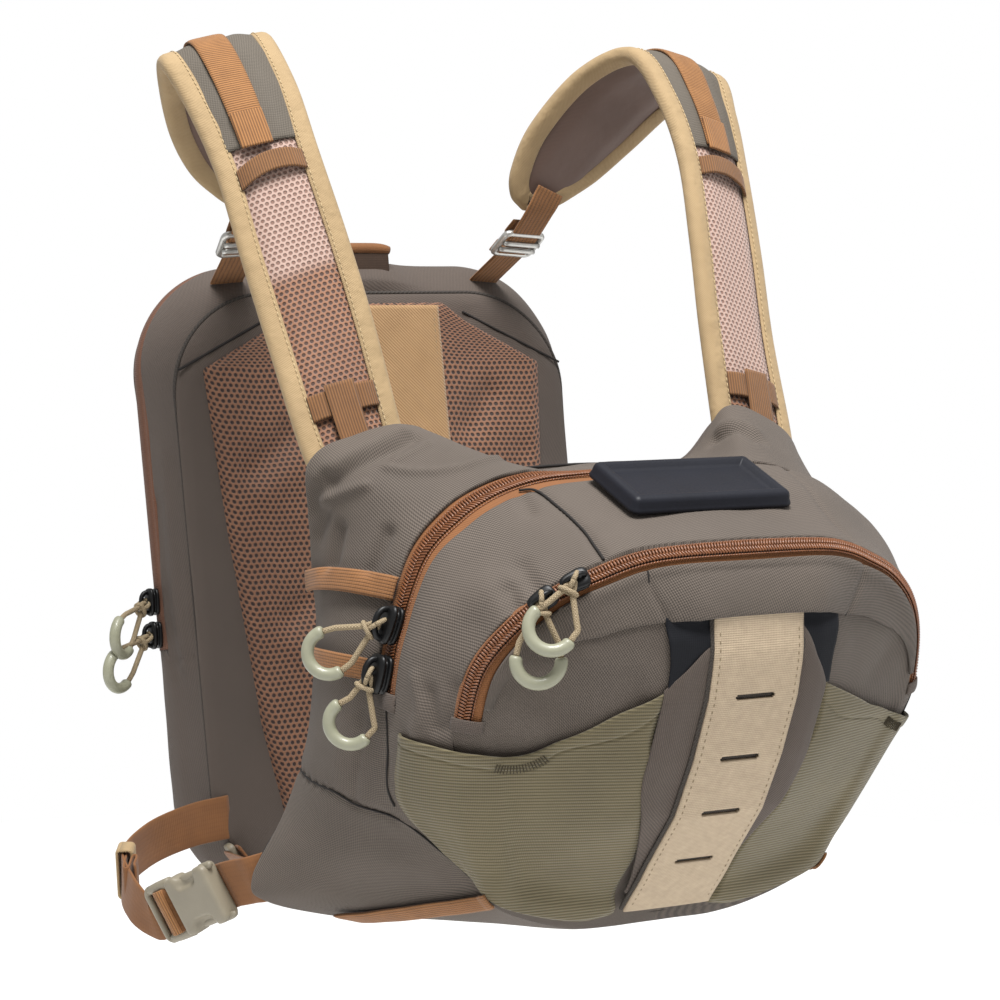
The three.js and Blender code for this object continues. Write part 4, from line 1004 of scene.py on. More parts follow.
# It bulges where its hem runs over the top of the tool strip.
heights += 3.8 * np.exp(-((yoke_u - 14) / 2.2) ** 4)[None] * ease(fall, 0.2, 0.9)[:, None]
grid_piece("yoke", skin + chest_up(u, v) * heights[..., None], NYLON, thick=1.2)
seam_shadow_line("yoke_seam", YOKE_SEAMS, 0.5, 1.9)

# Tabs: a scrap of the twill folded over each lower end of the two zips.
for key, (low, high) in ZIP_EDGES.items():
    for tag in ("right", "left"):
        rings = np.linspace(low - 0.05, high + 0.1, 16)
        u, v = np.meshgrid(np.linspace(6.86, 7.16, 12), rings, indexing="ij")
        u = u if tag == "right" else AROUND - u
        crown = 0.4 * np.sin(np.linspace(0, math.pi, 12))[:, None]
        rise = 1.5 - 1.2 * np.abs(np.linspace(-1, 1, 16))[None] ** 4 + crown
        grid_piece(f"{key}_zip_tab_{tag}", over_chest(u, v, rise), NYLON_FINE, flip=tag == "right", thick=0.8)


def gusset_finish(start):
    x, y = laid_out(start)
    weave = x.sine(0.0011) * 0.5 + y.sine(0.0011) * 0.5
    colour = tint(start, paint("07080d"), paint("0f1118"), weave * 0.5 + grain(start, 0.02) * 0.5)
    return colour, 0.8, weave * 0.0001


GUSSET = surface("gusset_cloth", gusset_finish, "gusset_cloth", Specular_IOR_Level=0.3)


def on_front(x, z, height):
    """A point a height in front of the pocket's middle."""
    x, z, height = np.broadcast_arrays(np.asarray(x, float), np.asarray(z, float), np.asarray(height, float))
    return np.stack([x, front_y(x, z) - height, z], -1)


z, t = np.meshgrid(np.linspace(177, 140, 30), np.linspace(-1, 1, 61), indexing="ij")
x = t * (46 + 3 * ease(z, 150, 177))
gusset = on_front(x, z, 1.0 - 2.4 * ease(z, 165, 174))
crease = [([(-47, -144, 174), (-37, -147, 163)], 1.8, 1.3), ([(47, -144, 170), (36, -147, 166)], 1.8, 1.4)]
gusset[..., 1] -= bells(gusset, crease)
grid_piece("expansion_gusset", gusset, GUSSET, thick=1.0, nodes=True)

# Flaps: upper edge from the strip out to the stretch pocket, each (x, z), then falling away down the front.
FLAPS = {
    "left": [(-25, 163), (-30, 160), (-38, 152), (-48, 142)],
    "right": [(25, 171), (30, 164), (36, 153), (44, 142)],
}
for tag, table in FLAPS.items():
    edge_xz = smooth_line(np.array(table, float), 24)
    fall = np.r_[0, 0.01, 0.03, np.linspace(0.06, 1, 40)]
    z = edge_xz[None, :, 1] + fall[:, None] * (30 - edge_xz[None, :, 1])
    x = edge_xz[None, :, 0] * (1 - 0.42 * ease(fall[:, None], 0.35, 1.0))
    rise = 2.3 - 1.6 * fall[:, None] + 1.2 * np.sin(np.linspace(0, math.pi, 24))[None] * (1 - fall[:, None])
    rise = rise - 0.8 * ease(-fall, -0.02, 0.0)[:, None]
    flap = on_front(x, z, rise)
    grid_piece(f"expansion_flap_{tag}", flap, NYLON_FINE, flip=tag == "right", thick=1.0)


# Stretch pockets: ribbed elastic knit on both sides of the front pocket, cut between the low seam and the
# middle flaps, with a turned hem along the open top and a bartack on the hem.
def knit_finish(start):
    x, y = laid_out(start)
    rib = y.sine(0.0018)
    column = x.sine(0.0011)
    hem = rib * 0.75 + column * 0.25
    colour = tint(start, paint("3e3724"), paint("766b4d"), hem * 0.62 + grain(start, 0.03, 3.0) * 0.38)
    return colour, 0.85, rib * 0.00028 + column * 0.00006


KNIT = surface("ribbed_knit", knit_finish, "stretch_knit", Sheen_Weight=0.2)
BARTACK = surface("bartack_thread", mottled("2a2418", "4a402c", 0.003, 0.85), "stretch_knit")
BARTACK_RINGS = np.array([(-2.6, 0.1), (-2.2, 0.3), (2.2, 0.3), (2.6, 0.1)])
# Edges of a pocket's cut as (station, ring): top and bottom from the outside in, outer and inner upwards.
STRETCH_BOTTOM = [(3.8, 3.5), (3.1, 3.95), (2.6, 4.75), (2.15, 5.5), (1.6, 5.8), (0.95, 5.9), (0.54, 6.6)]
STRETCH_CUTS = {
    "left": {
        "top": [(6.45, 4.44), (6.35, 5.44), (6.12, 6.54), (5.95, 8.22), (6.75, 8.88), (7.45, 9.4),
                (8.4, 9.84), (9.42, 10.04)],
        "outer": [(3.8, 3.5), (4.6, 3.4), (5.5, 3.9), (6.45, 4.44)],
        "inner": [(0.54, 6.6), (1.05, 9.2), (2.25, 9.98), (4.82, 10.24), (8.08, 10.24), (9.42, 10.04)],
    },
    "right": {
        "top": [(6.05, 4.5), (5.96, 5.4), (5.93, 6.32), (5.98, 6.82), (6.28, 7.92), (6.85, 8.6), (7.28, 9.14),
                (7.93, 9.68), (8.78, 10.0), (9.73, 10.16)],
        "outer": [(3.8, 3.5), (4.6, 3.4), (5.4, 3.9), (6.05, 4.5)],
        "inner": [(0.54, 6.6), (1.25, 9.24), (3.03, 10.2), (7.35, 10.34), (9.73, 10.16)],
    },
}
BARTACKS = {"left": (0.36, 0.56), "right": (0.3, 0.44)}
KNIT_COLUMNS = 110
HEM_ROW = 86


def even_line(table, at):
    """Places on a line of (station, ring), with at from 0 to 1 measured along the skin."""
    fine = smooth_line(np.array(table, float), 400)
    run = run_along(chest(*fine.T))
    return at_run(fine, run, at * run[-1])


for tag, cut in STRETCH_CUTS.items():
    a = np.linspace(0, 1, KNIT_COLUMNS)
    b = np.r_[np.linspace(0, 0.915, 84), 0.922, 0.93, 0.94, 0.96, 0.98, 0.995, 1.0, 1.0, 0.99, 0.97]
    lift = np.r_[np.zeros(84), -0.5, 0.1, 0.5, 0.6, 0.6, 0.5, 0.1, -0.8, -1.2, -1.2]
    top, bottom = even_line(cut["top"], a), even_line(STRETCH_BOTTOM, a)
    outer, inner = even_line(cut["outer"], b)[:, None], even_line(cut["inner"], b)[:, None]
    aa, bb = a[None, :, None], b[:, None, None]
    corners = (1 - aa) * ((1 - bb) * bottom[0] + bb * top[0]) + aa * ((1 - bb) * bottom[-1] + bb * top[-1])
    uv = (1 - bb) * bottom + bb * top + (1 - aa) * outer + aa * inner - corners
    station = uv[..., 0] if tag == "right" else AROUND - uv[..., 0]
    skin = chest(station, uv[..., 1])
    stand = 2.0 + 1.6 * np.sin(math.pi * a)[None] ** 0.8 * (b ** 8)[:, None] + lift[:, None]
    edge_drop = 1.4 * (ease(-a, -0.035, 0) + ease(a, 0.965, 1.0))[None] + 1.4 * ease(-b, -0.03, 0)[:, None]
    stand = stand - edge_drop + 0.7 * noise(skin, 45, 11)
    knit = skin + chest_up(station, uv[..., 1]) * stand[..., None]
    across, along = (np.linalg.norm(np.diff(knit, axis=k), axis=-1) for k in (1, 0))
    run = np.concatenate([np.zeros((len(b), 1)), np.cumsum(across, 1)], 1)
    layout = np.stack([run, 1.1 * knit[..., 2]], -1).reshape(-1, 2) / 1000
    pocket = grid_piece(f"stretch_pocket_{tag}", knit, KNIT, flip=tag == "right", layout=layout,
                        nodes=True)
    diagonals = knit[1:, 1:] - knit[:-1, :-1], knit[1:, :-1] - knit[:-1, 1:]
    first, last = (int(KNIT_COLUMNS * k) for k in BARTACKS[tag])
    out = chest_up(station[HEM_ROW, first:last], uv[HEM_ROW, first:last, 1])
    spots, away = resample(knit[HEM_ROW, first:last], 1.5, out)
    along = unit(np.gradient(spots, axis=0))
    bars = little_bars(spots + away * 0.5, np.cross(along, away), along, away, BARTACK_RINGS, 4)
    piece(f"stretch_bartack_{tag}", *bars, BARTACK)


# Tool strip: a stiff coated strip down the middle of the front, laser cut with four slots for tools,
# sewn along both edges over a narrow dark taupe backing, its dark tone partly painted shadow in the slots.
def strip_finish(start):
    x, y = laid_out(start)
    weave = y.sine(0.0011) * 0.6 + x.sine(0.0009) * 0.4
    colour = tint(start, paint("8d7c68"), paint("c5b195"), weave * 0.5 + grain(start, 0.004, 3.0) * 0.5)
    return colour, 0.72, weave * 0.0002 + grain(start, 0.003) * 0.0001


STRIP = surface("coated_strip", strip_finish, "strip_cloth")
THREAD = surface("thread", mottled("6f614a", "8a7b60", 0.003, 0.8), "strip_cloth")
STRIP_HALF = 25.0
SLOTS = [137.0, 105.6, 76.5, 48.7]
# A slot is a cross of two boxes, so that its corners are cut off: half length, and half height at the ends.
SLOT_HALF = (11.2, 1.35)
SLOT_END = (10.5, 0.6)
STRIP_THICK = 1.5
slot_lines = np.add.outer(SLOTS, [-SLOT_HALF[1], -SLOT_END[1], SLOT_END[1], SLOT_HALF[1]]).ravel()
strip_z = np.unique(np.r_[np.linspace(177.5, 20, 90), slot_lines])[::-1]
slot_ends = [-SLOT_HALF[0], -SLOT_END[0], SLOT_END[0], SLOT_HALF[0]]
strip_x = np.unique(np.r_[np.linspace(-STRIP_HALF, STRIP_HALF, 31), slot_ends])


def strip_rise(x, z):
    """The strip's face over the pocket: its edges pulled down by the stitching, its ends tucked under."""
    return 4.6 - (np.abs(x) / STRIP_HALF) ** 4 - 1.6 * ease(-z, -40, -20) - 2.8 * ease(z, 150, 176)


z, x = np.meshgrid(strip_z, strip_x, indexing="ij")
strip = on_front(x, z, strip_rise(x, z))
mid_z = (strip_z[:-1] + strip_z[1:]) / 2
mid_x = (strip_x[:-1] + strip_x[1:]) / 2
near = np.min(np.abs(mid_z[:, None] - np.array(SLOTS)), -1)[:, None]
aside = np.abs(mid_x)[None]
hole = (near < SLOT_HALF[1]) & (aside < SLOT_END[0]) | (near < SLOT_END[1]) & (aside < SLOT_HALF[0])
grid_piece("tool_strip", strip, STRIP, keep=~hole, thick=STRIP_THICK, nodes=True)
z, x = np.meshgrid(np.linspace(177, 21, 70), np.linspace(-26.4, 26.4, 15), indexing="ij")
rise = 2.7 - 1.2 * ease(np.abs(x), 25, 26.4) - 1.6 * ease(-z, -40, -20) - 2.4 * ease(z, 160, 175)
PANEL_TWILL = surface("panel_twill", nylon_finish("454038", "6e655a", 0.001), "shell_nylon")
# The backing is darker than the shell's twill: partly a painted shadow seen through the slots.
BACKING_PAINTED_SHADE = surface("backing_cloth_painted_shade", nylon_finish("352f2a", "4a433c", 0.0012), "shell_nylon")
grid_piece("strip_backing", on_front(x, z, rise), BACKING_PAINTED_SHADE, thick=1.4)


def stitches(name, path, up, pitch, material, half=1.0, radius=0.28):
    """A row of short thread bars along a line, each pulled into the cloth at its ends."""
    spots, out = resample(path, pitch, np.broadcast_to(up, path.shape))
    along, across, out = frames(spots, np.cross(unit(np.gradient(spots, axis=0)), unit(out)))
    rings = np.array([(-half, 0.12), (-half * 0.6, radius), (half * 0.6, radius), (half, 0.12)])
    points, faces = little_bars(spots, along, across, out, rings, 5)
    piece(name, points, faces, material)


for tag, x in (("left", -22.4), ("right", 22.4)):
    z = np.linspace(170, 23, 120)
    steep = np.hypot(1, np.gradient(front_y(x, z), z))
    face = on_front(np.full(120, x), z, strip_rise(x, z) + STRIP_THICK * steep)
    stitches(f"strip_stitching_{tag}", face, (0, -1, 0.2), 3.9, THREAD, 0.9, 0.3)


# Fly patch: a moulded block of dark closed-cell foam glued on the slope above the pocket zip,
# with a flared foot, a rounded rim and a shallow tray in its top.
def foam_finish(start):
    pores = grain(start, 0.0012, 3.0)
    colour = tint(start, paint("0d0e15"), paint("181a24"), grain(start, 0.02) * 0.6 + pores * 0.4)
    return colour, pores * 0.2 + 0.42, pores * 0.00006


FOAM = surface("foam", foam_finish, "foam", Specular_IOR_Level=0.3)
PATCH_CENTRE = np.array([0, -91.0, 234.4])
PATCH_SLOPE = unit(np.array([0, 41.0, 15.5]))
PATCH_UP = np.array([0, -PATCH_SLOPE[2], PATCH_SLOPE[1]])
# Levels as (height over the cloth, inset from the outline) from the foot over the rim into the tray.
PATCH_LEVELS = np.array([
    (-0.6, -0.6), (0.4, -0.9), (1.4, -0.5), (2.6, 0.1), (4.6, 0.5), (6.0, 1.1), (6.9, 2.3), (7.3, 3.6),
    (7.3, 4.6), (6.9, 5.6), (5.4, 7.0), (4.6, 8.2), (4.3, 10.0), (4.3, 18.0),
])


def rounded_box(half_x, half_y, radius, count=16, along_sides=0):
    """Outline of a rounded rectangle, anticlockwise, with points along its straight sides where asked for."""
    turn = np.linspace(0, math.pi / 2, count)
    arcs = [(half_x - radius, half_y - radius, 0), (radius - half_x, half_y - radius, 1),
            (radius - half_x, radius - half_y, 2), (half_x - radius, radius - half_y, 3)]
    arcs = [(cx, cy) + radius * np.stack([np.cos(turn + q * math.pi / 2), np.sin(turn + q * math.pi / 2)], -1)
            for cx, cy, q in arcs]
    share = np.linspace(0, 1, along_sides + 2)[1:-1, None]
    sides = [arc[-1] + share * (after[0] - arc[-1]) for arc, after in zip(arcs, arcs[1:] + arcs[:1])]
    return np.concatenate([part for pair in zip(arcs, sides) for part in pair])


def stacked(name, centre, a, b, up, levels, half_x, half_y, radius, material, press=None, waist=None,
            **options):
    """A block from rounded outlines: each level is (height, inset), capped at both ends.

    press gives how far its upper half sinks at each (x, y), and waist how wide it is at each y, as a share.
    """
    extra = 24 if press or waist else 0
    rings = [rounded_box(half_x - inset, half_y - inset, max(radius - inset, 0.6), 16, extra)
             for _, inset in levels]
    rings = np.stack([np.concatenate([ring, ring[:1]]) for ring in rings])
    height = np.broadcast_to(np.asarray(levels, float)[:, None, 0], rings.shape[:2])
    if press:
        height = height - np.where(height > 0, press(rings[..., 0], rings[..., 1]), 0)
    if waist:
        rings = np.stack([rings[..., 0] * waist(rings[..., 1]), rings[..., 1]], -1)
    points = centre + rings[..., :1] * a + rings[..., 1:] * b + height[..., None] * up
    faces = ring_faces(len(levels), points.shape[1] - 1)
    return piece(name, points.reshape(-1, 3), faces, material, weld=True, **options)


stacked("fly_patch", PATCH_CENTRE - 3.5 * PATCH_UP, np.array([1.0, 0, 0]), PATCH_SLOPE, PATCH_UP,
        PATCH_LEVELS, 45.5, 23.0, 4.0, FOAM, nodes=True)


# Webbing sewn on the chest pack: two loops on the left side between the rim and the zip, and a short
# webbing on each bottom corner. Brown, ribbed along its length, ends folded under and stitched.
def webbing_cloth(dark, pale, ribs, weft):
    """Woven webbing: ribs along it and rows of weft across it, each from 0 for faint to 1 for deep."""
    def build(start):
        x, y = laid_out(start)
        rib = x.sine(0.0026).step(0.05, 0.5)
        row = y.sine(0.0014).step(0.1, 0.7)
        shade = rib * (0.5 * ribs) + row * (0.5 * weft) + grain(start, 0.01, 3.0) * 0.4
        shade = shade + (0.3 - 0.25 * ribs - 0.25 * weft)
        colour = tint(start, paint(dark), paint(pale), shade)
        return colour, 0.8, rib * (0.0003 * ribs) + row * (0.0003 * weft)
    return build


WEBBING = surface("brown_webbing", webbing_cloth("52331a", "99683a", 0.7, 0.25), "webbing", Sheen_Weight=0.1)
SIDE_WEBBING = surface("side_webbing", webbing_cloth("583417", "8a5a2e", 0.1, 0.1), "webbing",
                       Sheen_Weight=0.1)
PALE_WEBBING = surface("strap_webbing", webbing_cloth("5a3717", "a87440", 0.0, 1.0), "webbing",
                       Sheen_Weight=0.1)
WEBBING_THREAD = surface("webbing_thread", webbing_cloth("4a2c12", "6b4522", 0.2, 0.2), "webbing")
LOOPS = [("side_loop_upper_left", 8.52), ("side_loop_lower_left", 7.42)]
SIDES = (("left", -1), ("right", 1))


def chest_band(name, station, ring, half, height, nodes, side):
    """A webbing on the skin along a line of (station, ring), half its width in stations each way."""
    t = np.linspace(-1, 1, 13)
    u = station[:, None] + t[None] * half
    u = u if side > 0 else AROUND - u
    v = np.broadcast_to(ring[:, None], u.shape)
    rise = height - 0.5 * t[None] ** 6 + slack(chest(u, v))
    made = over_chest(u, v, rise)
    run = run_along(made[:, len(t) // 2])
    layout = np.stack(np.broadcast_arrays(t * 9.5, run[:, None]), -1).reshape(-1, 2) / 1000
    return grid_piece(name, made, WEBBING, thick=1.5, layout=layout, flip=side > 0, nodes=nodes)


for name, station in LOOPS:
    ring = np.linspace(0.02, 3.02, 52)
    height = (2.4 + 1.4 * np.sin(math.pi * ring / 3.02) - 1.2 * ease(ring, 2.86, 3.02))[:, None]
    chest_band(name, np.full(52, station), ring, 0.14, height, True, -1)
for tag, side in SIDES:
    ring = np.linspace(0.6, 5.4, 70)
    chest_band(f"bottom_webbing_{tag}", np.full(70, 2.36), ring, 0.16, 2.2, True, side)


# Shoulder straps: a foam pad faced with pink-brown spacer mesh, lined smooth underneath, its edge bound with
# a folded beige tape. A twill panel and a brown webbing run over the shoulder; two bands cross the mesh.
# Rows from the chest pack up over the shoulder and down the back: inner edge, outer edge, half thickness.
STRAP_ROWS = np.array([
    [93, 25, 236, 139, 27, 224, 4.2], [96, 35, 256, 147, 39, 243, 4.2],
    [101, 56, 309, 153, 67, 296, 4.2], [107, 75, 355, 159, 88, 342, 4.2],
    [113, 97, 400, 164, 109, 387, 4.2], [114, 122, 435, 171, 132, 423, 4.2],
    [113, 156, 461, 176, 155, 446, 4.2], [99, 188, 451, 164, 184, 433, 4.2],
    [82, 212, 421, 148, 208, 410, 4.2], [76, 224, 396, 131, 222, 391, 3.0],
    [78, 229, 381, 114, 228, 379, 2.6], [86, 231, 373, 101, 231, 372, 2.6],
], float)


def strap_edges(side, r):
    """Inner edge, outer edge and half thickness of a strap at table row r."""
    rows = line(STRAP_ROWS, r)
    return rows[..., :3] * (side, 1, 1), rows[..., 3:6] * (side, 1, 1), rows[..., 6]


def strap(side, r, t, height):
    """Point over the strap's middle: r counts table rows, t goes from the inner edge to the outer one."""
    r, t, height = np.broadcast_arrays(np.asarray(r, float), np.asarray(t, float), np.asarray(height, float))
    inner, outer, _ = strap_edges(side, r)
    ahead, behind = strap_edges(side, r + 0.05), strap_edges(side, r - 0.05)
    along = (ahead[0] + ahead[1]) - (behind[0] + behind[1])
    up = side * unit(np.cross(outer - inner, along))
    return inner + (outer - inner) * t[..., None] + up * height[..., None]


def pad_rise(r, t):
    """Half thickness of the pad: thin under the binding, crowned between."""
    half = line(STRAP_ROWS, r)[..., 6]
    return 2.2 + (half + 0.7 - 2.2) * ease(np.minimum(t, 1 - t), 0.1, 0.32)


# Rows of holes that lie in line, over the pitch across, so that the holes stand in triangles.
ROW_STEP = 1.732


def mesh_finish(dark, pale, hole, pitch, sheen_from=9.0):
    """Knitted spacer mesh: round holes in staggered rows between paler threads, with a painted sheen past
    sheen_from.
    """
    def build(start):
        x, y = laid_out(start)
        near = None
        for shift in (0.0, 0.5):
            across = x * (1 / pitch) + shift
            down = y * (1 / (ROW_STEP * pitch)) + shift
            across = across.math("FRACT", across) - 0.5
            down = (down.math("FRACT", down) - 0.5) * ROW_STEP
            far = across.math("SQRT", across * across + down * down)
            near = far if near is None else near.math("MINIMUM", near, far)
        thread = near.step(0.22, 0.4)
        knit = grain(start, 0.02, 3.0) * 0.6 + (x + y).sine(0.0009) * 0.4
        knit_colour = tint(start, paint(dark), paint(pale), knit)
        # Painted sheen: past sheen_from the threads and the holes turn paler.
        wear_and_sheen = y.step(sheen_from - 0.005, sheen_from + 0.005)
        knit_colour = tint(start, knit_colour, paint("b79c90"), wear_and_sheen * 0.8)
        hole_colour = tint(start, paint(hole), paint("7d5d4f"), wear_and_sheen)
        colour = tint(start, hole_colour, knit_colour, thread)
        return colour, 0.7, thread * 0.0007
    return build


# Each strap's mesh carries a painted sheen from sheen_from on along it.
STRAP_MESH = {
    tag: surface(f"strap_mesh_{tag}", mesh_finish("78503a", "9b6e51", "452a1c", 0.0031, sheen_from),
                 "strap_mesh", Sheen_Weight=0.3)
    for tag, sheen_from in (("left", 0.118), ("right", 0.05))
}


def binding_finish(start):
    x, y = laid_out(start)
    weave = (x + y).sine(0.0012)
    colour = tint(start, paint("8b7452"), paint("b0966f"), weave * 0.4 + grain(start, 0.015, 3.0) * 0.6)
    return colour, 0.8, weave * 0.0001 + grain(start, 0.007) * 0.0011


def lining_finish(start):
    x, y = laid_out(start)
    weave = (x + y).sine(0.001)
    colour = tint(start, paint("4d392f"), paint("6e564b"), weave * 0.4 + grain(start, 0.03, 3.0) * 0.6)
    return colour, 0.6, grain(start, 0.012) * 0.0006


BINDING = surface("beige_binding", binding_finish, "binding", Sheen_Weight=0.1)
BINDING_THREAD = surface("binding_thread", mottled("a8926c", "c4ae88", 0.003, 0.8), "binding")
LINING = surface("strap_lining", lining_finish, "strap_mesh", Sheen_Weight=0.2)
BAND = surface("cross_webbing", webbing_cloth("482c16", "8b5f34", 0.0, 0.9), "webbing", Sheen_Weight=0.1)
# The binding's folded section as (outward from the pad's edge, over its middle), outer face then inner face.
BINDING_OUTER = np.array([
    (-9.8, 4.2), (-9.2, 4.7), (-6.5, 4.9), (-3, 4.7), (-1.0, 4.0), (0.4, 2.8), (1.0, 1.3), (1.1, 0),
])
BINDING_INNER = np.array([(-9.8, 3.8), (-6.5, 3.9), (-3, 3.8), (-1.2, 3.0), (-0.2, 1.8), (0.1, 0)])
binding_half = np.concatenate([BINDING_OUTER, (BINDING_OUTER[:-1] * (1, -1))[::-1]])
binding_back = np.concatenate([BINDING_INNER[:-1] * (1, -1), BINDING_INNER[::-1]])
BINDING_SECTION = np.concatenate([binding_half, binding_back])[::-1]


def strap_band(name, side, rows, across, height, material, nodes=(), swap=False, slant=0.0, bow=0.0):
    """A webbing on the strap's outer face over rows and across ranges, its edges a little lower.

    slant lowers its outer end, and bow lifts its middle off the pad.
    """
    r, t = np.meshgrid(rows, across, indexing="ij")
    middle = np.sin(np.linspace(0, math.pi, len(across)))
    r = r - slant * t + 0.6 * slant * middle[None]
    drop = np.linspace(-1, 1, len(across)) ** 6 * 0.5 - bow * middle
    points = strap(side, r, t, pad_rise(r, t) + height - drop[None])
    layout = grid_layout(points)
    return grid_piece(name, points, material, flip=side > 0, thick=1.4, nodes=nodes,
                      layout=layout[:, ::-1] if swap else layout)


for tag, side in SIDES:
    r = np.linspace(0, 11, 170)
    t = np.linspace(0.01, 0.99, 37)
    rr, tt = np.meshgrid(r, t, indexing="ij")
    top = strap(side, rr, tt, pad_rise(rr, tt) + 0.25 * noise(strap(side, rr, tt, 0), 30, 21))
    under = strap(side, rr, tt, -pad_rise(rr, tt))
    pad = np.concatenate([top, under[:, ::-1], top[:, :1]], 1)
    made = grid_piece(f"strap_pad_{tag}", pad, STRAP_MESH[tag], flip=side < 0, weld=True, nodes=True)
    rr, tt = np.meshgrid(np.linspace(0.3, 10.9, 150), np.linspace(0.13, 0.87, 25), indexing="ij")
    wave = 0.5 * noise(strap(side, rr, tt, 0), 24, 22) - 0.6
    cover = strap(side, rr, tt, wave - pad_rise(rr, tt))
    grid_piece(f"strap_lining_{tag}", cover, LINING, flip=side < 0, thick=0.5)
    rr, tt = np.meshgrid(np.linspace(4.18, 10.6, 130), np.linspace(0.14, 0.86, 33), indexing="ij")
    wave = 0.8 * noise(strap(side, rr, tt, 0), 16, 23) + 0.9
    cover = strap(side, rr, tt, wave + pad_rise(rr, tt))
    grid_piece(f"strap_panel_{tag}", cover, PANEL_TWILL, flip=side > 0, thick=0.8)

    rows = np.linspace(0, 11, 240)
    inner, outer, _ = strap_edges(side, rows)
    ups = strap(side, rows, 0.5, 1.0) - strap(side, rows, 0.5, 0.0)
    rim = np.concatenate([inner, outer[::-1]])
    rim_up = np.concatenate([ups, ups[::-1]])
    run = unit(np.gradient(rim, axis=0))
    outward = side * np.cross(rim_up, run)
    section = BINDING_SECTION if side > 0 else BINDING_SECTION[::-1] * (1, -1)
    sweep(f"strap_binding_{tag}", rim, outward, section, BINDING, nodes=True)
    for edge_name, edge_t in (("inner", 0), ("outer", 1)):
        r = np.linspace(0.3, 10.2, 260)
        inner, outer, _ = strap_edges(side, r)
        inset = 8.0 / np.linalg.norm(outer - inner, axis=-1)
        t = inset if edge_t == 0 else 1 - inset
        path = strap(side, r, t, 5.15)
        away = strap(side, r, t, 6.15) - path
        stitches(f"strap_stitching_{edge_name}_{tag}", path, away, 3.2, BINDING_THREAD, 1.1, 0.3)

    middle = 0.57 if side < 0 else 0.46
    width = np.linspace(middle - 0.15, middle + 0.15, 15)
    strap_band(f"strap_webbing_{tag}", side, np.linspace(4.22, 9.4, 110), width, 2.6, PALE_WEBBING, True)
    strap_band(f"strap_webbing_end_{tag}", side, np.linspace(4.14, 4.6, 24), width, 4.0, PALE_WEBBING,
               swap=True)
    for k, row in enumerate((4.56, 5.3, 6.1, 6.9, 7.7)):
        at = strap(side, row, width[1:-1], pad_rise(np.full(13, row), width[1:-1]) + (4.1 if k == 0 else 2.8))
        away = strap(side, row, 0.5, 9.0) - strap(side, row, 0.5, 8.0)
        stitches(f"strap_bartack_{tag}_{k + 1}", smooth_line(at, 60), away, 0.9, WEBBING_THREAD, 0.5, 0.45)
    cross = np.linspace(0.17, 0.83, 40)
    strap_band(f"strap_band_upper_{tag}", side, np.linspace(3.8, 4.02, 12), cross, 2.2, BAND, True, True,
               slant=0.12, bow=1.8)
    strap_band(f"strap_band_lower_{tag}", side, np.linspace(1.3, 1.52, 12), cross, 1.8, BAND, True, True)
    strap_band(f"strap_tab_{tag}", side, np.linspace(0.5, 1.56, 40), np.linspace(0.37, 0.66, 15), 3.5, BAND,
               swap=True)


# Strap adjusters: webbing from under each strap's rear end through a metal ladder lock to webbing sewn
# into the backpack's top seam.
def lock_finish(start):
    wear_and_sheen = grain(start, 0.004, 3.0)
    return tint(start, paint("b0afab"), paint("dcdad5"), wear_and_sheen), wear_and_sheen * 0.2 + 0.28, None


LOCK = surface("lock_metal", lock_finish, "lock_metal", Metallic=0.85)


def ribbon_section(width, thick):
    """A webbing's section: flat faces and rounded edges, anticlockwise."""
    half, r = width / 2, thick / 2
    turn = np.linspace(-math.pi / 2, math.pi / 2, 5)
    right = np.stack([half - r + r * np.cos(turn), r * np.sin(turn)], -1)
    flat_top = np.stack([np.linspace(half - r, r - half, 9)[1:-1], np.full(7, r)], -1)
    return np.concatenate([right, flat_top, right * (-1, -1), flat_top * (-1, -1)])


def hook(bar, along, up, radius, back):
    """A webbing end turned round a bar: over it, half round and back along its own underside."""
    turn = np.radians([90, 60, 30, 0, -30, -60, -90])
    round_bar = bar + np.outer(radius * np.cos(turn), along) + np.outer(radius * np.sin(turn), up)
    return np.concatenate([round_bar, [round_bar[-1] - along * back]])


def webbing(name, points, across, width, thick=1.6, material=WEBBING, count=90, nodes=()):
    """A flat webbing along the smooth line through points, its width lying across."""
    path = smooth_line(points, count)
    if np.ndim(across) == 2:
        across = smooth_line(across, count)
    return sweep(name, path, across, ribbon_section(width, thick), material, nodes=nodes)


def loop_frame(name, centre, a, b, half_a, half_b, corner, radius, material, **options):
    """A closed ring of wire along a rounded rectangle."""
    path = rounded_box(half_a, half_b, corner, 8)
    path = np.concatenate([path, path[:1]])
    points = centre + np.outer(path[:, 0], a) + np.outer(path[:, 1], b)
    return tube(name, points, radius, material, np.cross(a, b), 10, **options)


for tag, side in SIDES:
    anchor = np.array([side * 86, 277.0, 331.0])
    rows = np.array([9.5, 11.0])
    start, leave = strap(side, rows, 0.5, np.array([-7.6, -7.6]))
    along = unit(anchor - leave)
    across = unit(np.array([1.0, 0, 0]) - along * along[0])
    up = np.cross(along, across)
    lock = leave + (anchor - leave) * 0.42
    upper = np.concatenate([[start, leave], hook(lock - along * 6, along, up, 3.4, 9)])
    lower = np.concatenate([[anchor + along * 3, anchor], hook(lock + along * 6, -along, up, 3.4, 9)])
    webbing(f"adjuster_webbing_{tag}", upper, across, 20, nodes=True)
    webbing(f"anchor_webbing_{tag}", lower, across, 20, nodes=True)
    loop_frame(f"ladder_lock_{tag}", lock + up * 2.4, across, along, 13.0, 9.6, 3.0, 2.0, LOCK,
               nodes=True)
    for k, place in enumerate((-3.0, 3.0)):
        bar = lock + up * 5.2 + along * place + np.outer(np.linspace(-12.6, 12.6, 9), across)
        tube(f"ladder_bar_{tag}_{k + 1}", bar, 1.6, LOCK, up)


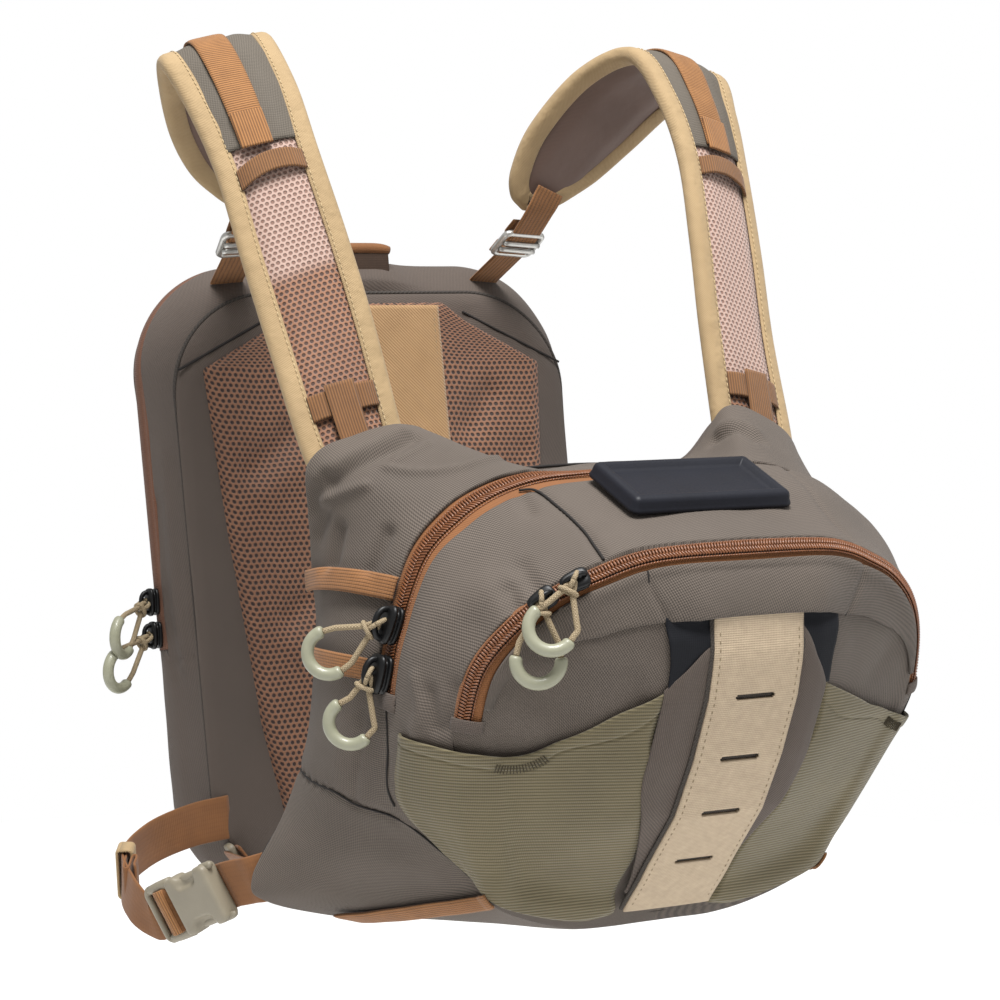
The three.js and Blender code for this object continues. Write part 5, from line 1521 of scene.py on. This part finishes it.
# Backpack shell: a slim bag of fine taupe twill, its outer face domed, closed by a zip round three sides.
# The panel against the wearer is padded; a line of piping runs round it and seams cut off its corners.
REAR_SEAM = 4.3
BACKPACK_ZIP = (6.0, BACKPACK_AROUND)
shell_v = np.r_[np.linspace(0, 1.94, 20), 2, 2, 2.25, 2.5, 2.75, 3, 3, np.linspace(3.06, REAR_SEAM, 18)]
lips = np.r_[np.zeros(20), -0.2, -1.9, 0, 0, 0, -1.9, -0.2, np.zeros(18)]
shell_w = np.linspace(0, BACKPACK_AROUND, 14 * BACKPACK_AROUND + 1)
w, v = np.meshgrid(shell_w, shell_v)
# Folds as (outline place, ring) points, width and height.
BACKPACK_FOLDS = [
    ([(16.6, 0.9), (17.4, 1.0), (18.2, 0.8)], 7, 2.0),
    ([(17.0, 1.5), (18.4, 1.4)], 6, -1.6),
    ([(18.1, 0.2), (18.2, 1.9)], 2.4, -1.2),
    ([(5.9, 0.2), (5.8, 1.9)], 2.4, -1.2),
    ([(12.15, 0.5), (11.85, 0.5)], 22, 7.0),
]
BACKPACK_FOLDS = [(backpack(*np.array(path).T), width, height) for path, width, height in BACKPACK_FOLDS]


def backpack_slack(points):
    """How far the backpack's cloth stands off its pattern."""
    return 1.1 * noise(points, 48, 31) + 0.4 * noise(points, 18, 32) + bells(points, BACKPACK_FOLDS)


heights = backpack_slack(backpack(w, v)) * ease(v, 0.0, 0.25) + lips[:, None] * in_arch(w, *BACKPACK_ZIP)
row = np.arange(len(shell_v) - 1)
slot_rows = (row >= 21) & (row < 25)
slot = slot_rows[:, None] & arch_quads(shell_w, *BACKPACK_ZIP)
grid_piece("backpack_shell", over_backpack(w, v, heights), NYLON_FINE, keep=~slot, flip=True, weld=True,
           layout=grid_layout(backpack(w, v)), nodes=True)
# The outer face inside the rear seam: the outlines shrink to its middle over a low dome.
w, v = np.meshgrid(shell_w, np.linspace(REAR_SEAM, 5.0, 12))
rim_x, rim_h, _ = outline(w, line(BACKPACK_RINGS, v))
rim = over_backpack(w, v, backpack_slack(backpack(w, v)))
k = np.linspace(1, 0, 42)[1:, None]
x = k * rim_x[-1]
h = 175 + k * (rim_h[-1] - 175)
face = lean(x, h, 72 + 10 * (1 - k ** 4))
rearward = lean(0, 0, 1.0) - lean(0, 0, 0.0)
away = unit(k[..., None] * backpack_up(shell_w, 5.0) + (1 - k[..., None]) * rearward)
face = face + away * backpack_slack(face)[..., None]
layout = np.stack([np.concatenate([rim_x, x]), np.concatenate([rim_h, h])], -1).reshape(-1, 2) / 1000
grid_piece("backpack_rear", np.concatenate([rim, face]), NYLON_FINE, flip=True, weld=True, layout=layout,
           nodes=["backpack_shell"])
w = np.linspace(5.98, 18.02, 420)
zip_pieces("backpack_zip", over_backpack, w, (1.86, 2.5, 3.14), -0.8, ridge=1.1, finish=BROWN_TAPE_PAINTED_SHADE,
           teeth=False, flip=True)
rim_w = np.linspace(0, BACKPACK_AROUND, 260)
PIPING = surface("piping", nylon_finish("2c2723", "413a34", 0.0012), "shell_nylon")
top_only = ease(rim_w, 7.6, 8.6) * ease(-rim_w, -16.4, -15.4)
piping = over_backpack(rim_w, 0 * rim_w, 0.6 * top_only)
tube("backpack_piping", piping, 0.5 + 0.7 * top_only, PIPING, (0.2, 0.9, 0.3), 8)
piping = over_backpack(rim_w, np.full_like(rim_w, REAR_SEAM), np.full_like(rim_w, 0.6))
tube("backpack_rear_piping", piping, 1.1, PIPING, (0.2, 0.3, 0.9), 8)

PANEL_CENTRE = 172.0
k = np.r_[1.0, 0.995, 0.985, 0.97, 0.95, 0.92, np.linspace(0.89, 0, 23)][:, None]
panel_w = np.linspace(0, BACKPACK_AROUND, 241)
x, h, _ = outline(panel_w, np.broadcast_to(BACKPACK_RINGS[0], (241, 7)))
x, h = k * x[None], PANEL_CENTRE + k * (h[None] - PANEL_CENTRE)
# Seams that cut off the panel's corners as (x, 0, height), mirrored, each a groove.
PANEL_SEAMS = [[(sign * 126, 0, 296), (sign * 100, 0, 309), (sign * 62, 0, 328)] for sign in (-1, 1)]


def on_panel(x, h):
    """Places on the panel, flattened, for its folds and noise."""
    return np.stack([x, 0 * x, h], -1)


grooves = bells(on_panel(x, h), [(path, 2.2, 1.0) for path in PANEL_SEAMS])
face = -0.4 - 3.6 * np.sqrt(np.clip((1 - k) / 0.05, 0, 1)) + grooves + 0.5 * noise(on_panel(x, h), 40, 41)
panel = grid_piece("backpack_panel", lean(x, h, face), NYLON_FINE, weld=True, nodes=True)
# Painted shadow lines down the corner seams' grooves.
for n, path in enumerate(PANEL_SEAMS):
    spots = smooth_line(path, 40)
    seam = lean(spots[:, 0], spots[:, 2], -3.7 + 0.5 * noise(spots, 40, 41))
    tube(f"panel_seam_{n + 1}", seam, 0.8, SEAM, (0, 1, 0.2), 6)

# Panel facing: brown open spacer mesh over soft foam, dented where it was pressed, and a tan twill strip
# down its middle. Height up the panel, and half width of the mesh there.
BACK_MESH = surface("back_mesh", mesh_finish("664431", "8c6248", "2a1810", 0.0036), "back_mesh",
                    Sheen_Weight=0.1)
MESH_ROWS = np.array([[30, 82], [90, 93], [200, 104], [296, 111], [322, 62], [333, 48]], float)
h = np.r_[30.0, 30.0, 31.5, 34, np.linspace(38, 290, 90), np.linspace(292, 329, 18), 331.5, 333, 333]
foot = np.r_[1.0, 0.35, 0.1, 0.0, np.zeros(108), 0.1, 0.35, 1.0]
t = np.linspace(-1, 1, 121)
edge_t = np.clip((1 - np.abs(t)) / 0.07, 0, 1)
half = np.interp(h, MESH_ROWS[:, 0], MESH_ROWS[:, 1])
x = half[:, None] * t[None]
hh = np.broadcast_to(h[:, None], x.shape)
MESH_DENTS = [
    ([(-88, 0, 236), (-70, 0, 250), (-52, 0, 262)], 9, 3.6), ([(-80, 0, 222), (-60, 0, 234)], 10, -2.0),
    ([(-72, 0, 150), (-56, 0, 160)], 9, 3.6), ([(-66, 0, 132), (-52, 0, 140)], 9, -1.6),
    ([(58, 0, 258), (72, 0, 276)], 9, 3.2), ([(92, 0, 240), (78, 0, 214)], 10, 2.2),
    ([(60, 0, 150), (84, 0, 170)], 10, 2.6),
]
spots = on_panel(x, hh)
puff = 6.2 * np.sqrt(edge_t)[None] * (1 - foot)[:, None]
press = (bells(spots, MESH_DENTS) + 0.6 * noise(spots, 30, 43)) * edge_t[None] * (1 - foot)[:, None]
facing = lean(x, hh, -3.9 - puff + np.minimum(press, 4.6))
mesh_pad = grid_piece("back_mesh", facing, BACK_MESH, nodes=True)


def twill_finish(start):
    x, y = laid_out(start)
    twill = (x + y).sine(0.0021)
    colour = tint(start, paint("7a5b38"), paint("ae8b62"), twill * 0.55 + grain(start, 0.02, 3.0) * 0.45)
    return colour, 0.8, twill * 0.0002


TWILL = surface("tan_twill", twill_finish, "centre_twill", Sheen_Weight=0.15)
CENTRE_HALF = 42.0
h, x = np.meshgrid(np.linspace(32, 331, 120), np.linspace(-CENTRE_HALF, CENTRE_HALF, 41), indexing="ij")
strip = lean(x, h, -10.6 - 0.7 * noise(on_panel(x, h), 40, 44) + (np.abs(x) / CENTRE_HALF) ** 8)
grid_piece("back_centre_strip", strip, TWILL, flip=True, thick=1.4, nodes=True)
for tag, x in (("left", 3.5 - CENTRE_HALF), ("right", CENTRE_HALF - 3.5)):
    h = np.linspace(35, 328, 120)
    path = lean(np.full(120, x), h, -10.9)
    stitches(f"centre_stitching_{tag}", path, (0, -1, 0.2), 3.4, THREAD)

# Haul loop: a wide tab of the brown webbing folded over a cord and sewn into the top seam of the backpack,
# where it pulls the cloth up. Its section as (depth, height); the face under the roll is in painted shadow.
HAUL = np.array([
    (6.5, 347), (5.4, 356), (5.0, 364), (5.4, 368), (7, 369), (8.6, 367), (9, 362), (10, 356), (11, 348),
])
# Painted shadow: the face under the roll is coloured far darker than the roll's own webbing.
HAUL_FACE_PAINTED_SHADOW = surface("haul_webbing_painted_shadow", webbing_cloth("24160c", "3f2a19", 0.1, 0.1), "webbing")
webbing("haul_loop", lean(0.0, HAUL[:, 1], HAUL[:, 0]), (1.0, 0, 0), 39, 1.8, HAUL_FACE_PAINTED_SHADOW, nodes=True)
roll_x = np.linspace(-20.5, 20.5, 21)
roll = lean(roll_x, 368.5 - 1.2 * (roll_x / 20.5) ** 4, 5.6)
tube("haul_loop_roll", roll, 3.4 - 0.9 * np.abs(roll_x / 20.5) ** 6, SIDE_WEBBING, (0, 1, 0.2), 14)


# Side straps: webbing from the backpack's side seam, bowed out through a keeper, round the bar of a
# side-release buckle, and from its other half to the chest pack's lower wing. Both are fastened.
def plastic_finish(start):
    grain_fine = grain(start, 0.0009, 3.0)
    colour = tint(start, paint("787060"), paint("8b8371"), grain(start, 0.012) * 0.7 + grain_fine * 0.3)
    return colour, grain_fine * 0.15 + 0.38, grain_fine * 0.00003


PLASTIC = surface("buckle_plastic", plastic_finish, "buckle_plastic")
BUCKLE_FRONT = np.array([182.0, 62, 23])
BUCKLE_REAR = np.array([200.0, 113, -1])
# The female half's levels as (height, inset), and the folded tail as (along, outward).
FEMALE_LEVELS = [
    (-5.5, 3.0), (-5.4, 1.4), (-4.8, 0.4), (-3.8, 0.0), (3.6, 0.0), (4.7, 0.4), (5.3, 1.2), (5.6, 2.4),
]
FEMALE_LEVELS += [(5.7, 3.4 + 0.8 * k) for k in range(13)]
TAIL = np.array([
    (-8, 2.4), (8, 2.6), (17, 3.2), (19.5, 4.6), (17.5, 6.0), (6, 6.0), (4, 7.2), (6, 8.4), (14, 8.4),
    (17, 9.4),
])


def thumb_recess(x, y):
    """An oval hollow towards each side of the buckle, where the thumb and finger press."""
    return 3.4 * np.exp(-((np.abs(x) - 13.5) / 3.2) ** 4 - (y / 7.0) ** 4)


def thumb_waist(y):
    """The buckle is cut in at both sides where its springs are pressed."""
    return 1 - 0.16 * np.exp(-(y / 7.5) ** 8)


SIDE_BOW = np.array([[116.6, 210, 27], [142, 206, 25], [172, 193, 20], [198, 166, 13], [204, 140, 4]], float)
for tag, side in SIDES:
    mirror = np.array([side, 1, 1])
    front, rear = BUCKLE_FRONT * mirror, BUCKLE_REAR * mirror
    along = unit(rear - front)
    length = np.linalg.norm(rear - front)
    lay = np.array([0.362 * side, 0.288, 0.885])
    wide = unit(lay - along * (lay @ along))
    out = side * np.cross(along, wide)
    rear_bar = front + along * 45
    bow = SIDE_BOW * mirror
    lead = [front + along * (length + 9) - out * 3.4, front + along * (length - 2) - out * 3.0]
    turned = np.concatenate([lead, hook(rear_bar, -along, out, 3.4, 5)])
    ups = np.concatenate([[(0.3 * side, 0, 0.95)], np.tile((0, 0, 1.0), (4, 1)),
                          np.tile(wide, (len(turned), 1))])
    webbing(f"side_webbing_rear_{tag}", np.concatenate([bow, turned]), ups, 25, 1.6, SIDE_WEBBING, 140,
            True)
    lap = np.array([lead[1] - along * 2.0, rear_bar + along * 6 + out * 2.6, rear_bar + along * 2 + out * 4.6,
                    rear_bar - along * 2 + out * 3.6])
    webbing(f"side_webbing_lap_{tag}", lap, wide, 25.2, 1.4, PALE_WEBBING, 40)
    wing = np.array([173.0, 46, 29]) * mirror
    sewn = np.array([163.0, 38, 33]) * mirror
    front_loop = np.array([sewn, wing, (wing + front) / 2 - out * 2.0, front - out * 3.6,
                           front + along * 6 - out * 5.6, front + along * 16 - out * 7.0])
    webbing(f"side_webbing_front_{tag}", front_loop, wide, 25, 1.6, SIDE_WEBBING, nodes=True)
    female = front + along * 22.5
    stacked(f"side_buckle_female_{tag}", female, wide, along * -side, out, FEMALE_LEVELS, 16.0, 16.5, 3.5,
            PLASTIC, thumb_recess, thumb_waist, nodes=True)
    for sign in (-1, 1):
        button = female + wide * (12.6 * sign)
        tube(f"side_buckle_button_{tag}_{sign + 2}", button + np.outer(np.linspace(-7.5, 7.5, 11), along),
             2.5 * np.sqrt(1 - np.linspace(-0.92, 0.92, 11) ** 4), PLASTIC, out, 12)
    bar = front + along * 13.5 - out * 3.0
    loop_frame(f"side_buckle_bar_{tag}", bar, wide, along, 14.0, 5.6, 3.0, 1.8, PLASTIC)
    for sign in (-1, 1):
        ear = front + wide * (14.2 * sign) + np.outer(np.linspace(3.5, 12, 9), along)
        swell = 2.2 * np.sqrt(1 - np.linspace(-0.9, 0, 9) ** 4)
        tube(f"side_buckle_ear_{tag}_{sign + 2}", ear, swell, PLASTIC, out, 12)
        arm = front + wide * (13.9 * sign) + np.outer(np.linspace(38, 57, 9), along)
        swell = 3.0 * np.sqrt(1 - np.linspace(0, 0.9, 9) ** 4)
        tube(f"side_buckle_arm_{tag}_{sign + 2}", arm, swell, PLASTIC, out, 12)
    loop_frame(f"side_buckle_male_{tag}", front + along * 48.0, wide, along, 14.6, 10.6, 3.5, 1.9, PLASTIC,
               nodes=True)
    tube(f"side_buckle_rung_{tag}", rear_bar + np.outer(np.linspace(-14.5, 14.5, 7), wide), 1.8, PLASTIC, out)
    grip_along = unit(bow[4] - bow[2])
    grip_across = unit(np.array([0, 0, 1.0]) - grip_along * grip_along[2])
    grip_out = np.cross(grip_along, grip_across)
    grip_out = grip_out * np.sign(grip_out[0] * side)
    ring = rounded_box(14.2, 4.0, 1.8, 6)
    ring = np.concatenate([ring, ring[:1]])
    keeper = bow[3] - grip_out * 1.5 + np.outer(ring[:, 0], grip_across) + np.outer(ring[:, 1], grip_out)
    sweep(f"side_keeper_{tag}", keeper, grip_along, ribbon_section(11, 1.6), BINDING, nodes=True)
    tail = bow[3] + np.outer(TAIL[:, 0], grip_along) - np.outer(TAIL[:, 1], grip_out)
    webbing(f"side_tail_{tag}", tail, grip_across, 24, 1.4, SIDE_WEBBING, 110)


# Lash strap on the left: a plain plate buckle at the backpack's foot, its webbing run forward to the
# chest pack's lower corner.
lash_back, lash_front = np.array([-113, 203.2, 2]), np.array([-160, 44.3, 27])
lash_along = unit(lash_front - lash_back)
lash_wide = unit(np.array([-0.6, 0, 0.8]) - lash_along * (np.array([-0.6, 0, 0.8]) @ lash_along))
lash_up = np.cross(lash_along, lash_wide)
LASH_LEVELS = [(-2.2, 1.4), (-1.8, 0.5), (-1.0, 0.0), (1.0, 0.0), (1.8, 0.5), (2.2, 1.4)]
stacked("lash_buckle", lash_back, lash_along, lash_wide, lash_up, LASH_LEVELS, 9.0, 12.5, 3.0, PLASTIC,
        nodes=True)
lash_line = np.concatenate([[lash_front], hook(lash_back + lash_along * 8.3, -lash_along, lash_up, 3.2, 12)])
webbing("lash_webbing", lash_line, lash_wide, 20, 1.6, SIDE_WEBBING, nodes=True)
